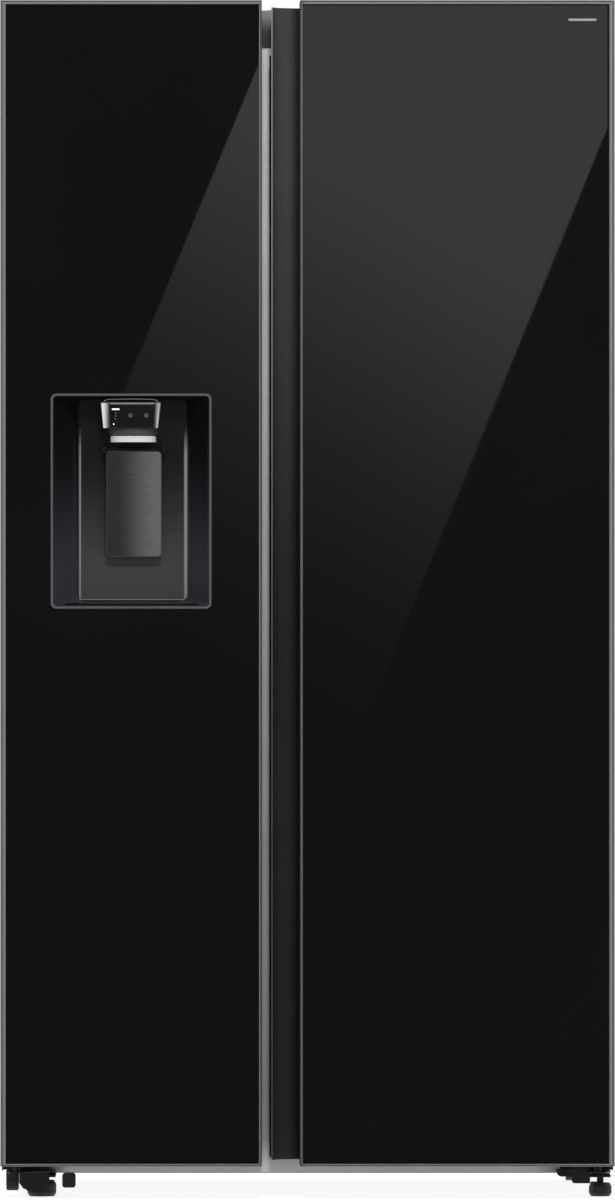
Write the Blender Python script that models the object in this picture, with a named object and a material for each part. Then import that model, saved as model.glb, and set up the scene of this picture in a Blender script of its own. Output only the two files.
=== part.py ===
"""A side by side refrigerator with a water and ice dispenser, as separate sub-parts on its joint axes.

Metres, +Z up. The doors face -Y, X runs to the right of someone facing the doors, and the origin lies
under the middle of the whole refrigerator, on the floor.
"""

import math

import bmesh
import bpy
from mathutils import Matrix, Vector

# Driving dimensions of the whole refrigerator.
WIDTH = 0.912
HEIGHT = 1.780
DEPTH = 0.716
CABINET_DEPTH = 0.610
CABINET_HEIGHT = 1.744
CLEARANCE = 0.0003

# Stations from front to back.
FRONT = -DEPTH / 2
BACK = DEPTH / 2
CABINET_FRONT = BACK - CABINET_DEPTH
TRIM_BACK = FRONT + 0.0060
GLASS_FRONT = FRONT + 0.0015
SHELL_FRONT = TRIM_BACK + CLEARANCE
SHELL_BACK = CABINET_FRONT - 0.0140
LIP_BACK = FRONT + 0.0380
LINER_PLATE = 0.0017
DYKE_BACK = CABINET_FRONT + 0.0170
BIN_BACK = CABINET_FRONT + 0.0870
SHELF_FRONT = CABINET_FRONT + 0.1020
FRAME_FRONT = CABINET_FRONT - 0.0015
FOAM_FRONT = CABINET_FRONT + 0.0002
COVER_LIP = CABINET_FRONT - 0.0055

# Heights.
SIDE = WIDTH / 2
DOOR_BOTTOM = 0.049
GRIP_BOTTOM = 0.058
GRIP_TOP = 1.770
DOOR_REAR_TOP = 1.742
RAIL_BOTTOM = 0.0403
RAIL_TOP = 0.0810
PAN_BOTTOM = 0.0405
PAN_TOP = 0.0425
CASE_BOTTOM = 0.0380
COVER_TOP = 1.770
COVER_BOTTOM = 1.714

# The two storage spaces and the machine compartment under their backs.
FREEZER = (-0.411, -0.095)
FRIDGE = (-0.027, 0.411)
SPACE_BOTTOM = 0.098
SPACE_TOP = 1.690
SPACE_BACK = 0.313
STEP_FRONT = 0.093
STEP_TOP = 0.345
MACHINE_FRONT = 0.138
MACHINE_TOP = 0.300
LINER_WALL = 0.0020
CASE_WALL = 0.0010
CASE_SHOULDER = 0.0060
CASE_BACK = BACK - 0.0018
BACK_SHEET = 0.0015
SEAT = 0.0005
BEYOND = 1.0
RAIL_X = (-0.389, 0.377)
RAIL_DEPTH = 0.022
RAIL_SHEET = 0.0013
COVER_HALF = 0.375
COVER_SHEET = 0.0025
COVER_DEPTH = 0.0860
COVER_NOSE = 0.0220
COVER_TAIL = 0.0080

# Doors: the left and right edge of each, and the hinge axes that they swing on.
FREEZER_DOOR = (-SIDE, -0.068)
FRIDGE_DOOR = (-0.054, SIDE)
FRIDGE_FACE_LEFT = -0.011
HINGE_X = 0.432
HINGE_Y = -0.300
PIN_RADIUS = 0.0050
PIN_HOLE = 0.0060
BOTTOM_SOCKET_TOP = 0.0710
TOP_SOCKET_DEPTH = 0.0230
SHELL_CORNER_CUT = 0.0080
HINGE_SHEET = 0.0030
TOP_HINGE_SHEET = 0.0040
TOP_PIN_LENGTH = 0.0240
TOP_SCREW_X = 0.410
TOP_SCREWS_Y = (-0.225, -0.190)
TOP_HINGE_EYE = 0.0120
TOP_HINGE_ARM = ((0.4340, -0.285), (0.4340, -0.170), (0.3850, -0.170), (0.3850, -0.240), (0.3950, -0.262))
BOTTOM_HINGE_EYE = 0.0140
BOTTOM_PIN_LENGTH = 0.0315
BOTTOM_HINGE_HEIGHTS = (0.0290, 0.0360)
BOTTOM_HINGE_X = {"left": (0.376, 0.424), "right": (0.418, 0.452)}
APRON_TOP = 0.0465
TRIM_HINGE_SIDE = 0.0090
TRIM_TOP = 0.0060
TRIM_BOTTOM = 0.0040
TRIM_FREE_SIDE = 0.0040
GLASS_SHADOW_GAP = 0.0020
GRIP_SHEET = 0.0020
GRIP_NOTCH_X = 0.030

# Door linings, seals and racks, measured in from the edges of the storage space.
DYKE_HINGE_INSET = 0.0120
DYKE_FREE_INSET = 0.0150
DYKE_WIDTH = 0.0220
GASKET_WIDTH = 0.0150
GASKET_FREE_GAP = 0.0050
GASKET_HINGE_GAP = 0.0020
RACK_WALL = 0.0025
RACK_GAP = 0.0020
RECESS_INSET = 0.0020
RECESS_WALL = 0.0030
DRAWER_HINGE_GAP = 0.0230

# Dispenser in the freezer door.
RECESS = (-0.381, -0.1425)
RECESS_Z = (0.877, 1.196)
BEZEL_WIDTH = 0.0030
RECESS_CORNER = 0.0080
RECESS_BACK = -0.290
HEAD_X = (-0.307, -0.218)
HEAD_Z = (1.144, 1.183)
SPOUT_X = -0.2590
SPOUT_Y = -0.3200
PADDLE_X = (-0.299, -0.217)
PADDLE_Z = (0.954, 1.111)
PADDLE_Y = -0.3150
PADDLE_SHEET = 0.0050
PADDLE_CORNER = 0.0060
PADDLE_BARREL = 0.0035
LUG_HALF = 0.0050
HEAD_TAPER = 0.0035
SPOUT_BORE = 0.0250
SPOUT_RING = 0.0335
SPOUT_NECK = 0.0370
SPOUT_LENGTH = 0.0190
SPOUT_SQUEEZE = 0.66
PADDLE_AXIS_Z = 1.1135

# Shelves, drawers and racks: the height of each, or its low and high edge.
SHELF_HEIGHTS = {"freezer": (1.280, 0.940), "fridge": (1.360, 0.980)}
SHELF_BACKS = {"freezer": 0.2540, "fridge": 0.2930}
SHELF_SIDE_GAP = 0.0015
SHELF_SHEET = 0.0050
SHELF_NOSE = (0.0100, 0.0140)
COVER_SHELF_HEIGHT = 0.605
DRAWER_SIDE_GAP = 0.0080
DRAWER_DRAFT = 0.0060
DRAWER_UPPER = (STEP_TOP + 0.012, 0.580)
DRAWER_UPPER_BACK = 0.240
DRAWER_LOWER = (SPACE_BOTTOM + 0.004, 0.335)
DRAWER_LOWER_BACK = STEP_FRONT - 0.006
RACK_DRAFT = 0.0050
FRIDGE_RACKS = {"upper": (1.330, 1.430), "middle": (0.890, 1.010), "lower": (0.420, 0.560)}
FREEZER_RACKS = {
    "ice_bucket": (1.180, 1.420),
    "freezer_door_bin_upper": (0.760, 0.860),
    "freezer_door_bin_lower": (0.420, 0.540),
}

# Machinery at the bottom back and behind the freezer's cover.
COMPRESSOR_AT = (0.250, 0.248)
COMPRESSOR_CAN = (
    (0.060, 0.0), (0.078, 0.012), (0.088, 0.050), (0.088, 0.120), (0.076, 0.160), (0.045, 0.182),
)
CONDENSER_FAN_AT = (0.040, 0.248, 0.165)
CONDENSER_FAN_RADIUS = 0.070
EVAPORATOR_FAN_AT = ((FREEZER[0] + FREEZER[1]) / 2, 0.2850, 1.130)
EVAPORATOR_FAN_RADIUS = 0.047
EVAPORATOR_MOUTH = 0.052
EVAPORATOR_COVER_FRONT = 0.2560
EVAPORATOR_COVER_SHEET = 0.0030
TUBE_RADIUS = 0.0050
VENT_LEFTS = (-0.400, -0.180, 0.040, 0.260)
VENT_WIDTH = 0.150
DUCT_HALF = 0.080
DUCT_Z = (0.420, 1.660)
DUCT_FRONT = 0.2960

# Feet and rollers.
FRONT_ROLLERS = {"left": (-0.4410, 0.02305, 0.01565), "right": (0.4320, 0.0110, 0.0090)}
FRONT_ROLLER_Y = -0.205
FRONT_ROLLER_WIDTH = 0.0187
REAR_ROLLER_RADIUS = 0.0200
REAR_ROLLER_Y = 0.300
REAR_ROLLERS_X = {"left": -0.405, "right": 0.405}
FOOT_SIZES = {"left": (0.0215, 0.0240), "right": (0.0170, 0.0200)}
FOOT_X = {"left": -0.3965, "right": 0.4370}
FOOT_Y = -0.238
STEM_RADIUS = 0.0050
STEM_TOP = 0.0420
TREAD_EDGE = 0.0015

# Colour, roughness and metallic value of each material.
LOOKS = {
    "case_paint": ((0.16, 0.16, 0.17), 0.35, 0.0),
    "galvanised_steel": ((0.55, 0.56, 0.57), 0.45, 0.9),
    "pale_painted_steel": ((0.42, 0.43, 0.44), 0.35, 0.3),
    "foam": ((0.80, 0.72, 0.50), 0.9, 0.0),
    "white_liner": ((0.86, 0.87, 0.88), 0.35, 0.0),
    "dark_plastic": ((0.030, 0.031, 0.034), 0.45, 0.0),
    "satin_trim": ((0.30, 0.31, 0.32), 0.30, 0.9),
    "black_glass": ((0.008, 0.008, 0.009), 0.04, 0.0),
    "grip_plastic": ((0.060, 0.061, 0.064), 0.35, 0.2),
    "grey_rubber": ((0.22, 0.22, 0.23), 0.8, 0.0),
    "brushed_dark_metal": ((0.16, 0.165, 0.17), 0.35, 0.9),
    "pale_plastic": ((0.45, 0.46, 0.47), 0.40, 0.0),
    "clear_plastic": ((0.80, 0.86, 0.90), 0.10, 0.0),
    "shelf_glass": ((0.70, 0.80, 0.80), 0.05, 0.0),
    "aluminium": ((0.75, 0.75, 0.76), 0.35, 1.0),
    "black_steel": ((0.020, 0.020, 0.022), 0.35, 0.4),
    "copper": ((0.72, 0.36, 0.20), 0.30, 1.0),
}
AXIS_ORDER = {
    "X": Matrix(((0, 0, 1, 0), (1, 0, 0, 0), (0, 1, 0, 0), (0, 0, 0, 1))),
    "Y": Matrix(((1, 0, 0, 0), (0, 0, 1, 0), (0, 1, 0, 0), (0, 0, 0, 1))),
    "Z": Matrix.Identity(4),
}
SMOOTH_ANGLE = math.radians(35)


def clear_scene():
    for obj in list(bpy.data.objects):
        bpy.data.objects.remove(obj)


def make_looks():
    for name, (colour, roughness, metallic) in LOOKS.items():
        look = bpy.data.materials.new(name)
        look.use_nodes = True
        shader = look.node_tree.nodes["Principled BSDF"]
        shader.inputs["Base Color"].default_value = (*colour, 1.0)
        shader.inputs["Roughness"].default_value = roughness
        shader.inputs["Metallic"].default_value = metallic


# Outlines: lists of (u, v) pairs in a flat plane.


def rectangle(left, low, right, high):
    return [(left, low), (right, low), (right, high), (left, high)]


def arc(centre, radius, start, end, steps):
    """Points from one angle to the other, in degrees, both ends included."""
    angles = [math.radians(start + (end - start) * step / steps) for step in range(steps + 1)]
    return [(centre[0] + radius * math.cos(a), centre[1] + radius * math.sin(a)) for a in angles]


def circle(centre, radius, steps=16):
    return arc(centre, radius, 0, 360 - 360 / steps, steps - 1)


def rounded(left, low, right, high, radius, steps=4):
    corners = ((right, high), (left, high), (left, low), (right, low))
    points = []
    for quarter, (u, v) in enumerate(corners):
        inward_u = math.copysign(radius, u - (left + right) / 2)
        inward_v = math.copysign(radius, v - (low + high) / 2)
        centre = (u - inward_u, v - inward_v)
        points += arc(centre, radius, 90 * quarter, 90 * quarter + 90, steps)
    return points


def mirrored(outline):
    return [(-u, v) for u, v in outline]


def bezier(start, first, second, end, steps):
    points = []
    for step in range(steps + 1):
        t = step / steps
        weights = ((1 - t) ** 3, 3 * t * (1 - t) ** 2, 3 * t * t * (1 - t), t**3)
        mixed = [sum(w * p[k] for w, p in zip(weights, (start, first, second, end))) for k in (0, 1)]
        points.append(tuple(mixed))
    return points


def beside(path, distance):
    """The open path moved sideways to its left by the distance."""
    moved = []
    for index, point in enumerate(path):
        before = Vector(path[max(index - 1, 0)])
        after = Vector(path[min(index + 1, len(path) - 1)])
        along = (after - before).normalized()
        moved.append((point[0] - along.y * distance, point[1] + along.x * distance))
    return moved


# Shapes: closed bmeshes in world space.


def prism(outline, low, high, along, holes=()):
    """The outline, less its holes, swept from low to high along an axis."""
    bm = bmesh.new()
    edges = []
    for loop in (outline, *holes):
        corners = [bm.verts.new((u, v, low)) for u, v in loop]
        edges += [bm.edges.new(pair) for pair in zip(corners, corners[1:] + corners[:1])]
    bmesh.ops.triangle_fill(bm, use_beauty=True, edges=edges, normal=(0, 0, 1))
    grown = bmesh.ops.extrude_face_region(bm, geom=bm.faces[:])["geom"]
    tops = [item for item in grown if isinstance(item, bmesh.types.BMVert)]
    bmesh.ops.translate(bm, verts=tops, vec=(0, 0, high - low))
    bmesh.ops.transform(bm, verts=bm.verts[:], matrix=AXIS_ORDER[along])
    return bm


def block(low, high):
    return prism(rectangle(low[0], low[1], high[0], high[1]), low[2], high[2], "Z")


def loft(loops, close_start=True, close_end=True):
    """Loops of as many 3-D points each, joined in order."""
    bm = bmesh.new()
    rings = [[bm.verts.new(point) for point in loop] for loop in loops]
    for one, two in zip(rings, rings[1:]):
        for index in range(len(one)):
            bm.faces.new((one[index - 1], one[index], two[index], two[index - 1]))
    if close_start:
        bm.faces.new(rings[0])
    if close_end:
        bm.faces.new(rings[-1])
    return bm


def turned(profile, centre, along="Z", steps=16, ring=False, squeeze=1.0):
    """(radius, height) pairs turned round an axis through the centre. A ring profile closes on itself."""
    loops = []
    for radius, height in profile:
        flat = [(u, v * squeeze, height) for u, v in circle((0, 0), radius, steps)]
        loops.append(flat)
    bm = loft(loops, not ring, not ring)
    if ring:
        bm.verts.ensure_lookup_table()
        first = bm.verts[:steps]
        last = bm.verts[-steps:]
        for index in range(steps):
            bm.faces.new((last[index - 1], last[index], first[index], first[index - 1]))
    bmesh.ops.transform(bm, verts=bm.verts[:], matrix=Matrix.Translation(centre) @ AXIS_ORDER[along])
    return bm


def open_tub(bottom, top, low, high):
    """A tub with no lid: its bottom outline at the low height and its top outline at the high one."""
    return loft([[(u, v, low) for u, v in bottom], [(u, v, high) for u, v in top]], True, False)


# Objects.


def mesh_object(name, shape):
    bmesh.ops.recalc_face_normals(shape, faces=shape.faces[:])
    mesh = bpy.data.meshes.new(name)
    shape.to_mesh(mesh)
    shape.free()
    obj = bpy.data.objects.new(name, mesh)
    bpy.context.scene.collection.objects.link(obj)
    return obj


def axis_empty(name, location):
    empty = bpy.data.objects.new(name, None)
    empty.empty_display_size = 0.05
    empty.location = location
    bpy.context.scene.collection.objects.link(empty)
    return empty


def ride(obj, empty):
    """Hangs the object on the empty and leaves it where it is."""
    obj.parent = empty
    obj.matrix_parent_inverse = Matrix.Translation(-empty.location)


def part(name, look, body, shape, add=(), cut=(), within=(), wall=0.0):
    """A sub-part: its shape, hollowed to a wall, united with others, cut, then given more within the cut."""
    obj = mesh_object(name, shape)
    obj.data.materials.append(bpy.data.materials[look])
    if wall:
        shell = obj.modifiers.new("wall", "SOLIDIFY")
        shell.thickness = wall
        shell.offset = -1.0
        shell.use_even_offset = True
    for operation, others in (("UNION", add), ("DIFFERENCE", cut), ("UNION", within)):
        for number, other in enumerate(others):
            helper = mesh_object(f"{name}_{operation.lower()}_{number}", other)
            helper.hide_render = True
            helper.display_type = "WIRE"
            boolean = obj.modifiers.new(helper.name, "BOOLEAN")
            boolean.operation = operation
            boolean.object = helper
    obj.data.shade_smooth()
    obj.data.set_sharp_from_angle(angle=SMOOTH_ANGLE)
    ride(obj, body)
    return obj


def pipe(name, look, body, points, radius):
    """A closed round tube along the points."""
    curve = bpy.data.curves.new(name, "CURVE")
    curve.dimensions = "3D"
    curve.bevel_depth = radius
    curve.bevel_resolution = 1
    curve.use_fill_caps = True
    spline = curve.splines.new("POLY")
    spline.points.add(len(points) - 1)
    for target, point in zip(spline.points, points):
        target.co = (*point, 1.0)
    obj = bpy.data.objects.new(name, curve)
    bpy.context.scene.collection.objects.link(obj)
    curve.materials.append(bpy.data.materials[look])
    ride(obj, body)
    return obj


# The cabinet.


def space_block(space, grow, front):
    """A storage space, stepped over the machine compartment, grown all round and reaching to the front."""
    side = [
        (front, SPACE_BOTTOM - grow),
        (STEP_FRONT + grow, SPACE_BOTTOM - grow),
        (STEP_FRONT + grow, STEP_TOP - grow),
        (SPACE_BACK + grow, STEP_TOP - grow),
        (SPACE_BACK + grow, SPACE_TOP + grow),
        (front, SPACE_TOP + grow),
    ]
    return prism(side, space[0] - grow, space[1] + grow, "X")


def liner(name, space, body):
    """A moulded tub whose outside stands one wall off the storage space."""
    hollow = space_block(space, 0.0, FRONT)
    part(name, "white_liner", body, space_block(space, LINER_WALL, FOAM_FRONT), cut=[hollow])


def case_outline():
    """An upside-down U with rounded shoulders, as the wrapped sheet is bent."""
    bend_height = CABINET_HEIGHT - CASE_SHOULDER
    outer = [(SIDE, CASE_BOTTOM)]
    outer += arc((SIDE - CASE_SHOULDER, bend_height), CASE_SHOULDER, 0, 90, 4)
    outer += arc((CASE_SHOULDER - SIDE, bend_height), CASE_SHOULDER, 90, 180, 4)
    outer.append((-SIDE, CASE_BOTTOM))
    return outer + beside(outer, CASE_WALL)[::-1]


def slots(left, right, low, high, rows, share=0.5):
    """Level slots, one above another, as rectangles."""
    pitch = (high - low) / rows
    return [rectangle(left, low + pitch * row, right, low + pitch * (row + share)) for row in range(rows)]


def make_cabinet(root):
    part("outer_case", "case_paint", root, prism(case_outline(), CABINET_FRONT, CASE_BACK, "Y"))
    hem = 2 * CASE_WALL
    back_outline = rectangle(hem - SIDE, MACHINE_TOP + 0.003, SIDE - hem, CABINET_HEIGHT - hem)
    part("back_panel", "galvanised_steel", root, prism(back_outline, BACK - BACK_SHEET, BACK, "Y"))
    half = SIDE - CASE_WALL - SEAT
    foam_top = CABINET_HEIGHT - 0.0070
    foam_side = [
        (FOAM_FRONT, PAN_TOP + SEAT),
        (MACHINE_FRONT, PAN_TOP + SEAT),
        (MACHINE_FRONT, MACHINE_TOP),
        (CASE_BACK, MACHINE_TOP),
        (CASE_BACK, foam_top),
        (FOAM_FRONT, foam_top),
    ]
    gap = LINER_WALL + CLEARANCE
    spaces = [space_block(space, gap, FRONT) for space in (FREEZER, FRIDGE)]
    part("cabinet_foam", "foam", root, prism(foam_side, -half, half, "X"), cut=spaces)
    liner("freezer_liner", FREEZER, root)
    liner("fridge_liner", FRIDGE, root)
    doorways = [rectangle(space[0], SPACE_BOTTOM, space[1], SPACE_TOP) for space in (FREEZER, FRIDGE)]
    frame_outline = rectangle(-half, RAIL_TOP + CLEARANCE, half, CABINET_HEIGHT - hem)
    frame = prism(frame_outline, FRAME_FRONT, FOAM_FRONT - 0.0004, "Y", holes=doorways)
    part("front_frame", "pale_painted_steel", root, frame)
    rail_back = CABINET_FRONT + RAIL_DEPTH
    rail_side = [
        (FRAME_FRONT, RAIL_BOTTOM),
        (rail_back, RAIL_BOTTOM),
        (rail_back, RAIL_BOTTOM + RAIL_SHEET),
        (CABINET_FRONT - CLEARANCE, RAIL_BOTTOM + RAIL_SHEET),
        (CABINET_FRONT - CLEARANCE, RAIL_TOP),
        (FRAME_FRONT, RAIL_TOP),
    ]
    part("bottom_rail", "pale_painted_steel", root, prism(rail_side, *RAIL_X, "X"))
    pan = block((-half, rail_back + 0.002, PAN_BOTTOM), (half, CASE_BACK, PAN_TOP))
    part("base_pan", "galvanised_steel", root, pan)
    tail_centre = (COVER_LIP + COVER_DEPTH - COVER_TAIL, COVER_TOP - COVER_TAIL)
    nose_centre = (COVER_LIP + COVER_NOSE, COVER_TOP - COVER_NOSE)
    cover_side = [
        (COVER_LIP, COVER_BOTTOM),
        (COVER_LIP + COVER_SHEET, COVER_BOTTOM),
        (COVER_LIP + COVER_SHEET, CABINET_HEIGHT + SEAT),
        (COVER_LIP + COVER_DEPTH, CABINET_HEIGHT + SEAT),
        *arc(tail_centre, COVER_TAIL, 0, 90, 3),
        *arc(nose_centre, COVER_NOSE, 90, 180, 5),
    ]
    part("top_hinge_cover", "dark_plastic", root, prism(cover_side, -COVER_HALF, COVER_HALF, "X"))


def top_hinge_outline():
    """Plan of the right top hinge: a round eye on the axis and an arm that runs back and inwards."""
    return arc((HINGE_X, HINGE_Y), TOP_HINGE_EYE, -200, 0, 10) + list(TOP_HINGE_ARM)


def bottom_hinge_sheet(side, plan, low):
    """One flat sheet of a bottom hinge, with the hole for the foot's stem."""
    outline = mirrored(plan) if side == "left" else plan
    hole = circle((FOOT_X[side], FOOT_Y), PIN_HOLE, 12)
    return prism(outline, low, low + HINGE_SHEET, "Z", holes=[hole])


def apron_outline(side):
    """Front view of the plate before a bottom hinge's foot: plain on the left, stepped on the right."""
    if side == "left":
        tip = [(-0.422, 0.013), (-0.417, 0.008), (-0.390, 0.008), (-0.385, 0.013)]
        return [(-0.422, APRON_TOP), *tip, (-0.385, APRON_TOP)]
    step = [(0.394, APRON_TOP), (0.394, 0.0415), (0.371, 0.0415), *arc((0.379, 0.038), 0.008, 180, 270, 3)]
    corner = arc((0.398, 0.024), 0.004, 180, 270, 2)
    return [*step, (0.394, 0.030), *corner, (0.4215, 0.020), (0.4215, APRON_TOP)]


def make_bottom_hinge(side, sign, root):
    """A folded bracket: its upper sheet carries the hinge pin, and both sheets guide the foot's stem."""
    front, back = FOOT_Y - 0.027, FOOT_Y + 0.053
    left, right = BOTTOM_HINGE_X[side]
    lower, upper = BOTTOM_HINGE_HEIGHTS
    eye = arc((HINGE_X, HINGE_Y), BOTTOM_HINGE_EYE, -180, 0, 8)
    plan = eye + [(right, front), (right, back), (left, back), (left, front)]
    top_sheet = bottom_hinge_sheet(side, plan, upper)
    low_sheet = bottom_hinge_sheet(side, rectangle(left, front, right, back), lower)
    ends = sorted((sign * left, sign * right))
    fold = block((ends[0], back - HINGE_SHEET, lower), (ends[1], back, upper + HINGE_SHEET))
    apron = prism(apron_outline(side), front, front + HINGE_SHEET, "Y")
    pin_profile = [(PIN_RADIUS, 0.0), (PIN_RADIUS, BOTTOM_PIN_LENGTH)]
    pin = turned(pin_profile, (sign * HINGE_X, HINGE_Y, upper + SEAT))
    part(f"bottom_hinge_{side}", "black_steel", root, top_sheet, add=[fold, low_sheet, apron, pin])


def make_hinges(root):
    plate_low = CABINET_HEIGHT + SEAT
    plate_high = plate_low + TOP_HINGE_SHEET
    for side, sign in (("left", -1), ("right", 1)):
        outline = top_hinge_outline() if sign > 0 else mirrored(top_hinge_outline())
        screws = [circle((sign * TOP_SCREW_X, y), 0.0035, 8) for y in TOP_SCREWS_Y]
        plate = prism(outline, plate_low, plate_high, "Z", holes=screws)
        pin_profile = [(PIN_RADIUS, 0.0), (PIN_RADIUS, TOP_PIN_LENGTH)]
        pin = turned(pin_profile, (sign * HINGE_X, HINGE_Y, plate_high - SEAT - TOP_PIN_LENGTH))
        part(f"top_hinge_{side}", "galvanised_steel", root, plate, add=[pin])
        make_bottom_hinge(side, sign, root)


def serpentine(left, right, low, high, passes, depth_y):
    """A tube's centre line: level passes joined by round bends."""
    pitch = (high - low) / (passes - 1)
    bend = pitch / 2
    points = []
    for row in range(passes):
        height = low + pitch * row
        ends = (left + bend, right - bend) if row % 2 == 0 else (right - bend, left + bend)
        points += [(x, depth_y, height) for x in ends]
        if row < passes - 1:
            turn = 1 if row % 2 == 0 else -1
            for x, z in arc((ends[1], height + bend), bend, -90, 90, 4)[1:-1]:
                points.append((ends[1] + turn * (x - ends[1]), depth_y, z))
    return points


def fan(name, look, body, centre, along, radius, blades=5, pitch=30.0):
    """A hub with flat blades set at an angle."""
    hub = turned([(radius * 0.30, -0.009), (radius * 0.30, 0.009)], (0, 0, 0), "Z", 12)
    wings = []
    for number in range(blades):
        wing = block((radius * 0.2, -radius * 0.22, -0.0009), (radius, radius * 0.22, 0.0009))
        tilt = Matrix.Rotation(math.radians(pitch), 4, "X")
        spin = Matrix.Rotation(math.tau * number / blades, 4, "Z")
        bmesh.ops.transform(wing, verts=wing.verts[:], matrix=spin @ tilt)
        wings.append(wing)
    place = Matrix.Translation(centre) @ AXIS_ORDER[along]
    for shape in (hub, *wings):
        bmesh.ops.transform(shape, verts=shape.verts[:], matrix=place)
    part(name, look, body, hub, add=wings)


def make_machinery(root, condenser_rotor, evaporator_rotor):
    can = turned(COMPRESSOR_CAN, (*COMPRESSOR_AT, PAN_TOP + CLEARANCE), steps=20)
    part("compressor", "black_steel", root, can)
    coil = serpentine(-0.380, -0.130, 0.062, 0.272, 8, 0.250)
    pipe("condenser", "black_steel", root, coil, TUBE_RADIUS)
    fan("condenser_fan", "dark_plastic", condenser_rotor, CONDENSER_FAN_AT, "X", CONDENSER_FAN_RADIUS)
    cover = rectangle(-SIDE + 0.012, PAN_TOP + 0.0015, SIDE - 0.012, MACHINE_TOP - 0.001)
    vents = []
    for left in VENT_LEFTS:
        vents += slots(left, left + VENT_WIDTH, 0.090, 0.260, 6)
    part("machine_cover", "galvanised_steel", root, prism(cover, BACK - BACK_SHEET, BACK, "Y", holes=vents))

    plate_back = EVAPORATOR_COVER_FRONT + EVAPORATOR_COVER_SHEET
    left, right = FREEZER[0] + SHELF_SIDE_GAP, FREEZER[1] - SHELF_SIDE_GAP
    wind = circle((EVAPORATOR_FAN_AT[0], EVAPORATOR_FAN_AT[2]), EVAPORATOR_MOUTH, 16)
    low_vents = slots(left + 0.05, right - 0.05, 0.370, 0.410, 2)
    vents = low_vents + slots(left + 0.05, right - 0.05, 1.500, 1.600, 4)
    face = rectangle(left, STEP_TOP + 0.001, right, SPACE_TOP - 0.001)
    plate = prism(face, EVAPORATOR_COVER_FRONT, plate_back, "Y", holes=[wind, *vents])
    part("freezer_evaporator_cover", "white_liner", root, plate)
    coil = serpentine(left + 0.030, right - 0.030, 0.440, 0.860, 11, 0.287)
    pipe("freezer_evaporator", "aluminium", root, coil, TUBE_RADIUS)
    fan("evaporator_fan", "dark_plastic", evaporator_rotor, EVAPORATOR_FAN_AT, "Y", EVAPORATOR_FAN_RADIUS)
    middle = (FRIDGE[0] + FRIDGE[1]) / 2
    duct = rounded(middle - DUCT_HALF, DUCT_Z[0], middle + DUCT_HALF, DUCT_Z[1], 0.020)
    vents = slots(middle - 0.050, middle + 0.050, 0.700, 1.600, 5, 0.05)
    duct_cover = prism(duct, DUCT_FRONT, SPACE_BACK - 0.0010, "Y", holes=vents)
    part("fridge_duct_cover", "white_liner", root, duct_cover)


def shelf(name, space, height, body, back):
    """A flat shelf with a deeper front edge."""
    nose_depth, nose_height = SHELF_NOSE
    side = [
        (SHELF_FRONT, height - nose_height),
        (SHELF_FRONT + nose_depth, height - nose_height),
        (SHELF_FRONT + nose_depth, height - SHELF_SHEET),
        (back, height - SHELF_SHEET),
        (back, height),
        (SHELF_FRONT, height),
    ]
    part(name, "shelf_glass", body, prism(side, space[0] + SHELF_SIDE_GAP, space[1] - SHELF_SIDE_GAP, "X"))


def drawer(name, space, heights, back, body, sign):
    """A drawer with drawn-in lower edges. The sign gives the side that its door hangs on."""
    left, right = space[0] + DRAWER_SIDE_GAP, space[1] - DRAWER_SIDE_GAP
    left, right = (left + DRAWER_HINGE_GAP, right) if sign < 0 else (left, right - DRAWER_HINGE_GAP)
    draft = DRAWER_DRAFT
    bottom = rounded(left + draft, SHELF_FRONT + draft, right - draft, back - draft, 0.012, 3)
    top = rounded(left, SHELF_FRONT, right, back, 0.014, 3)
    part(name, "clear_plastic", body, open_tub(bottom, top, *heights), wall=RACK_WALL)


def make_interior(root, drawers):
    for side, space, sign in (("freezer", FREEZER, -1), ("fridge", FRIDGE, 1)):
        for level, height in zip(("top", "middle"), SHELF_HEIGHTS[side]):
            shelf(f"{side}_shelf_{level}", space, height, root, SHELF_BACKS[side])
        upper, lower = drawers[f"{side}_upper"], drawers[f"{side}_lower"]
        drawer(f"{side}_drawer_upper", space, DRAWER_UPPER, DRAWER_UPPER_BACK, upper, sign)
        drawer(f"{side}_drawer_lower", space, DRAWER_LOWER, DRAWER_LOWER_BACK, lower, sign)
    shelf("fridge_crisper_cover", FRIDGE, COVER_SHELF_HEIGHT, root, SHELF_BACKS["fridge"])
    shelf("freezer_drawer_cover", FREEZER, COVER_SHELF_HEIGHT, root, SHELF_BACKS["freezer"])


def make_running_gear(wheels, feet):
    """Rollers that turn on level axles and feet whose stems screw down through the bottom hinges."""
    for side, empty in wheels.items():
        end, hand = side.split("_")
        radius = FRONT_ROLLERS[hand][2] if end == "front" else REAR_ROLLER_RADIUS
        half = FRONT_ROLLER_WIDTH / 2
        edge = TREAD_EDGE
        tread = [(radius - edge, -half), (radius, edge - half), (radius, half - edge), (radius - edge, half)]
        wheel = turned(tread, empty.location, "X", 24)
        part(f"{end}_roller_{hand}", "dark_plastic", empty, wheel)
    for side, empty in feet.items():
        x, y = empty.location.x, empty.location.y
        radius, height = FOOT_SIZES[side]
        profile = [
            (radius - 0.003, 0.0),
            (radius, 0.005),
            (radius, height - 0.006),
            (radius - 0.003, height),
            (STEM_RADIUS, height),
            (STEM_RADIUS, STEM_TOP),
        ]
        part(f"levelling_foot_{side}", "dark_plastic", empty, turned(profile, (x, y, 0.0), steps=20))


# The doors.


def pin_holes(sign):
    """Cutters for the sockets that the hinge pins turn in, in the bottom and the top of a door."""
    x = sign * HINGE_X
    floor = DOOR_BOTTOM - SEAT
    bottom = turned([(PIN_HOLE, floor), (PIN_HOLE, BOTTOM_SOCKET_TOP)], (x, HINGE_Y, 0.0), steps=12)
    top = turned([(PIN_HOLE, -TOP_SOCKET_DEPTH), (PIN_HOLE, SEAT)], (x, HINGE_Y, DOOR_REAR_TOP), steps=12)
    return [bottom, top]


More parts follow.
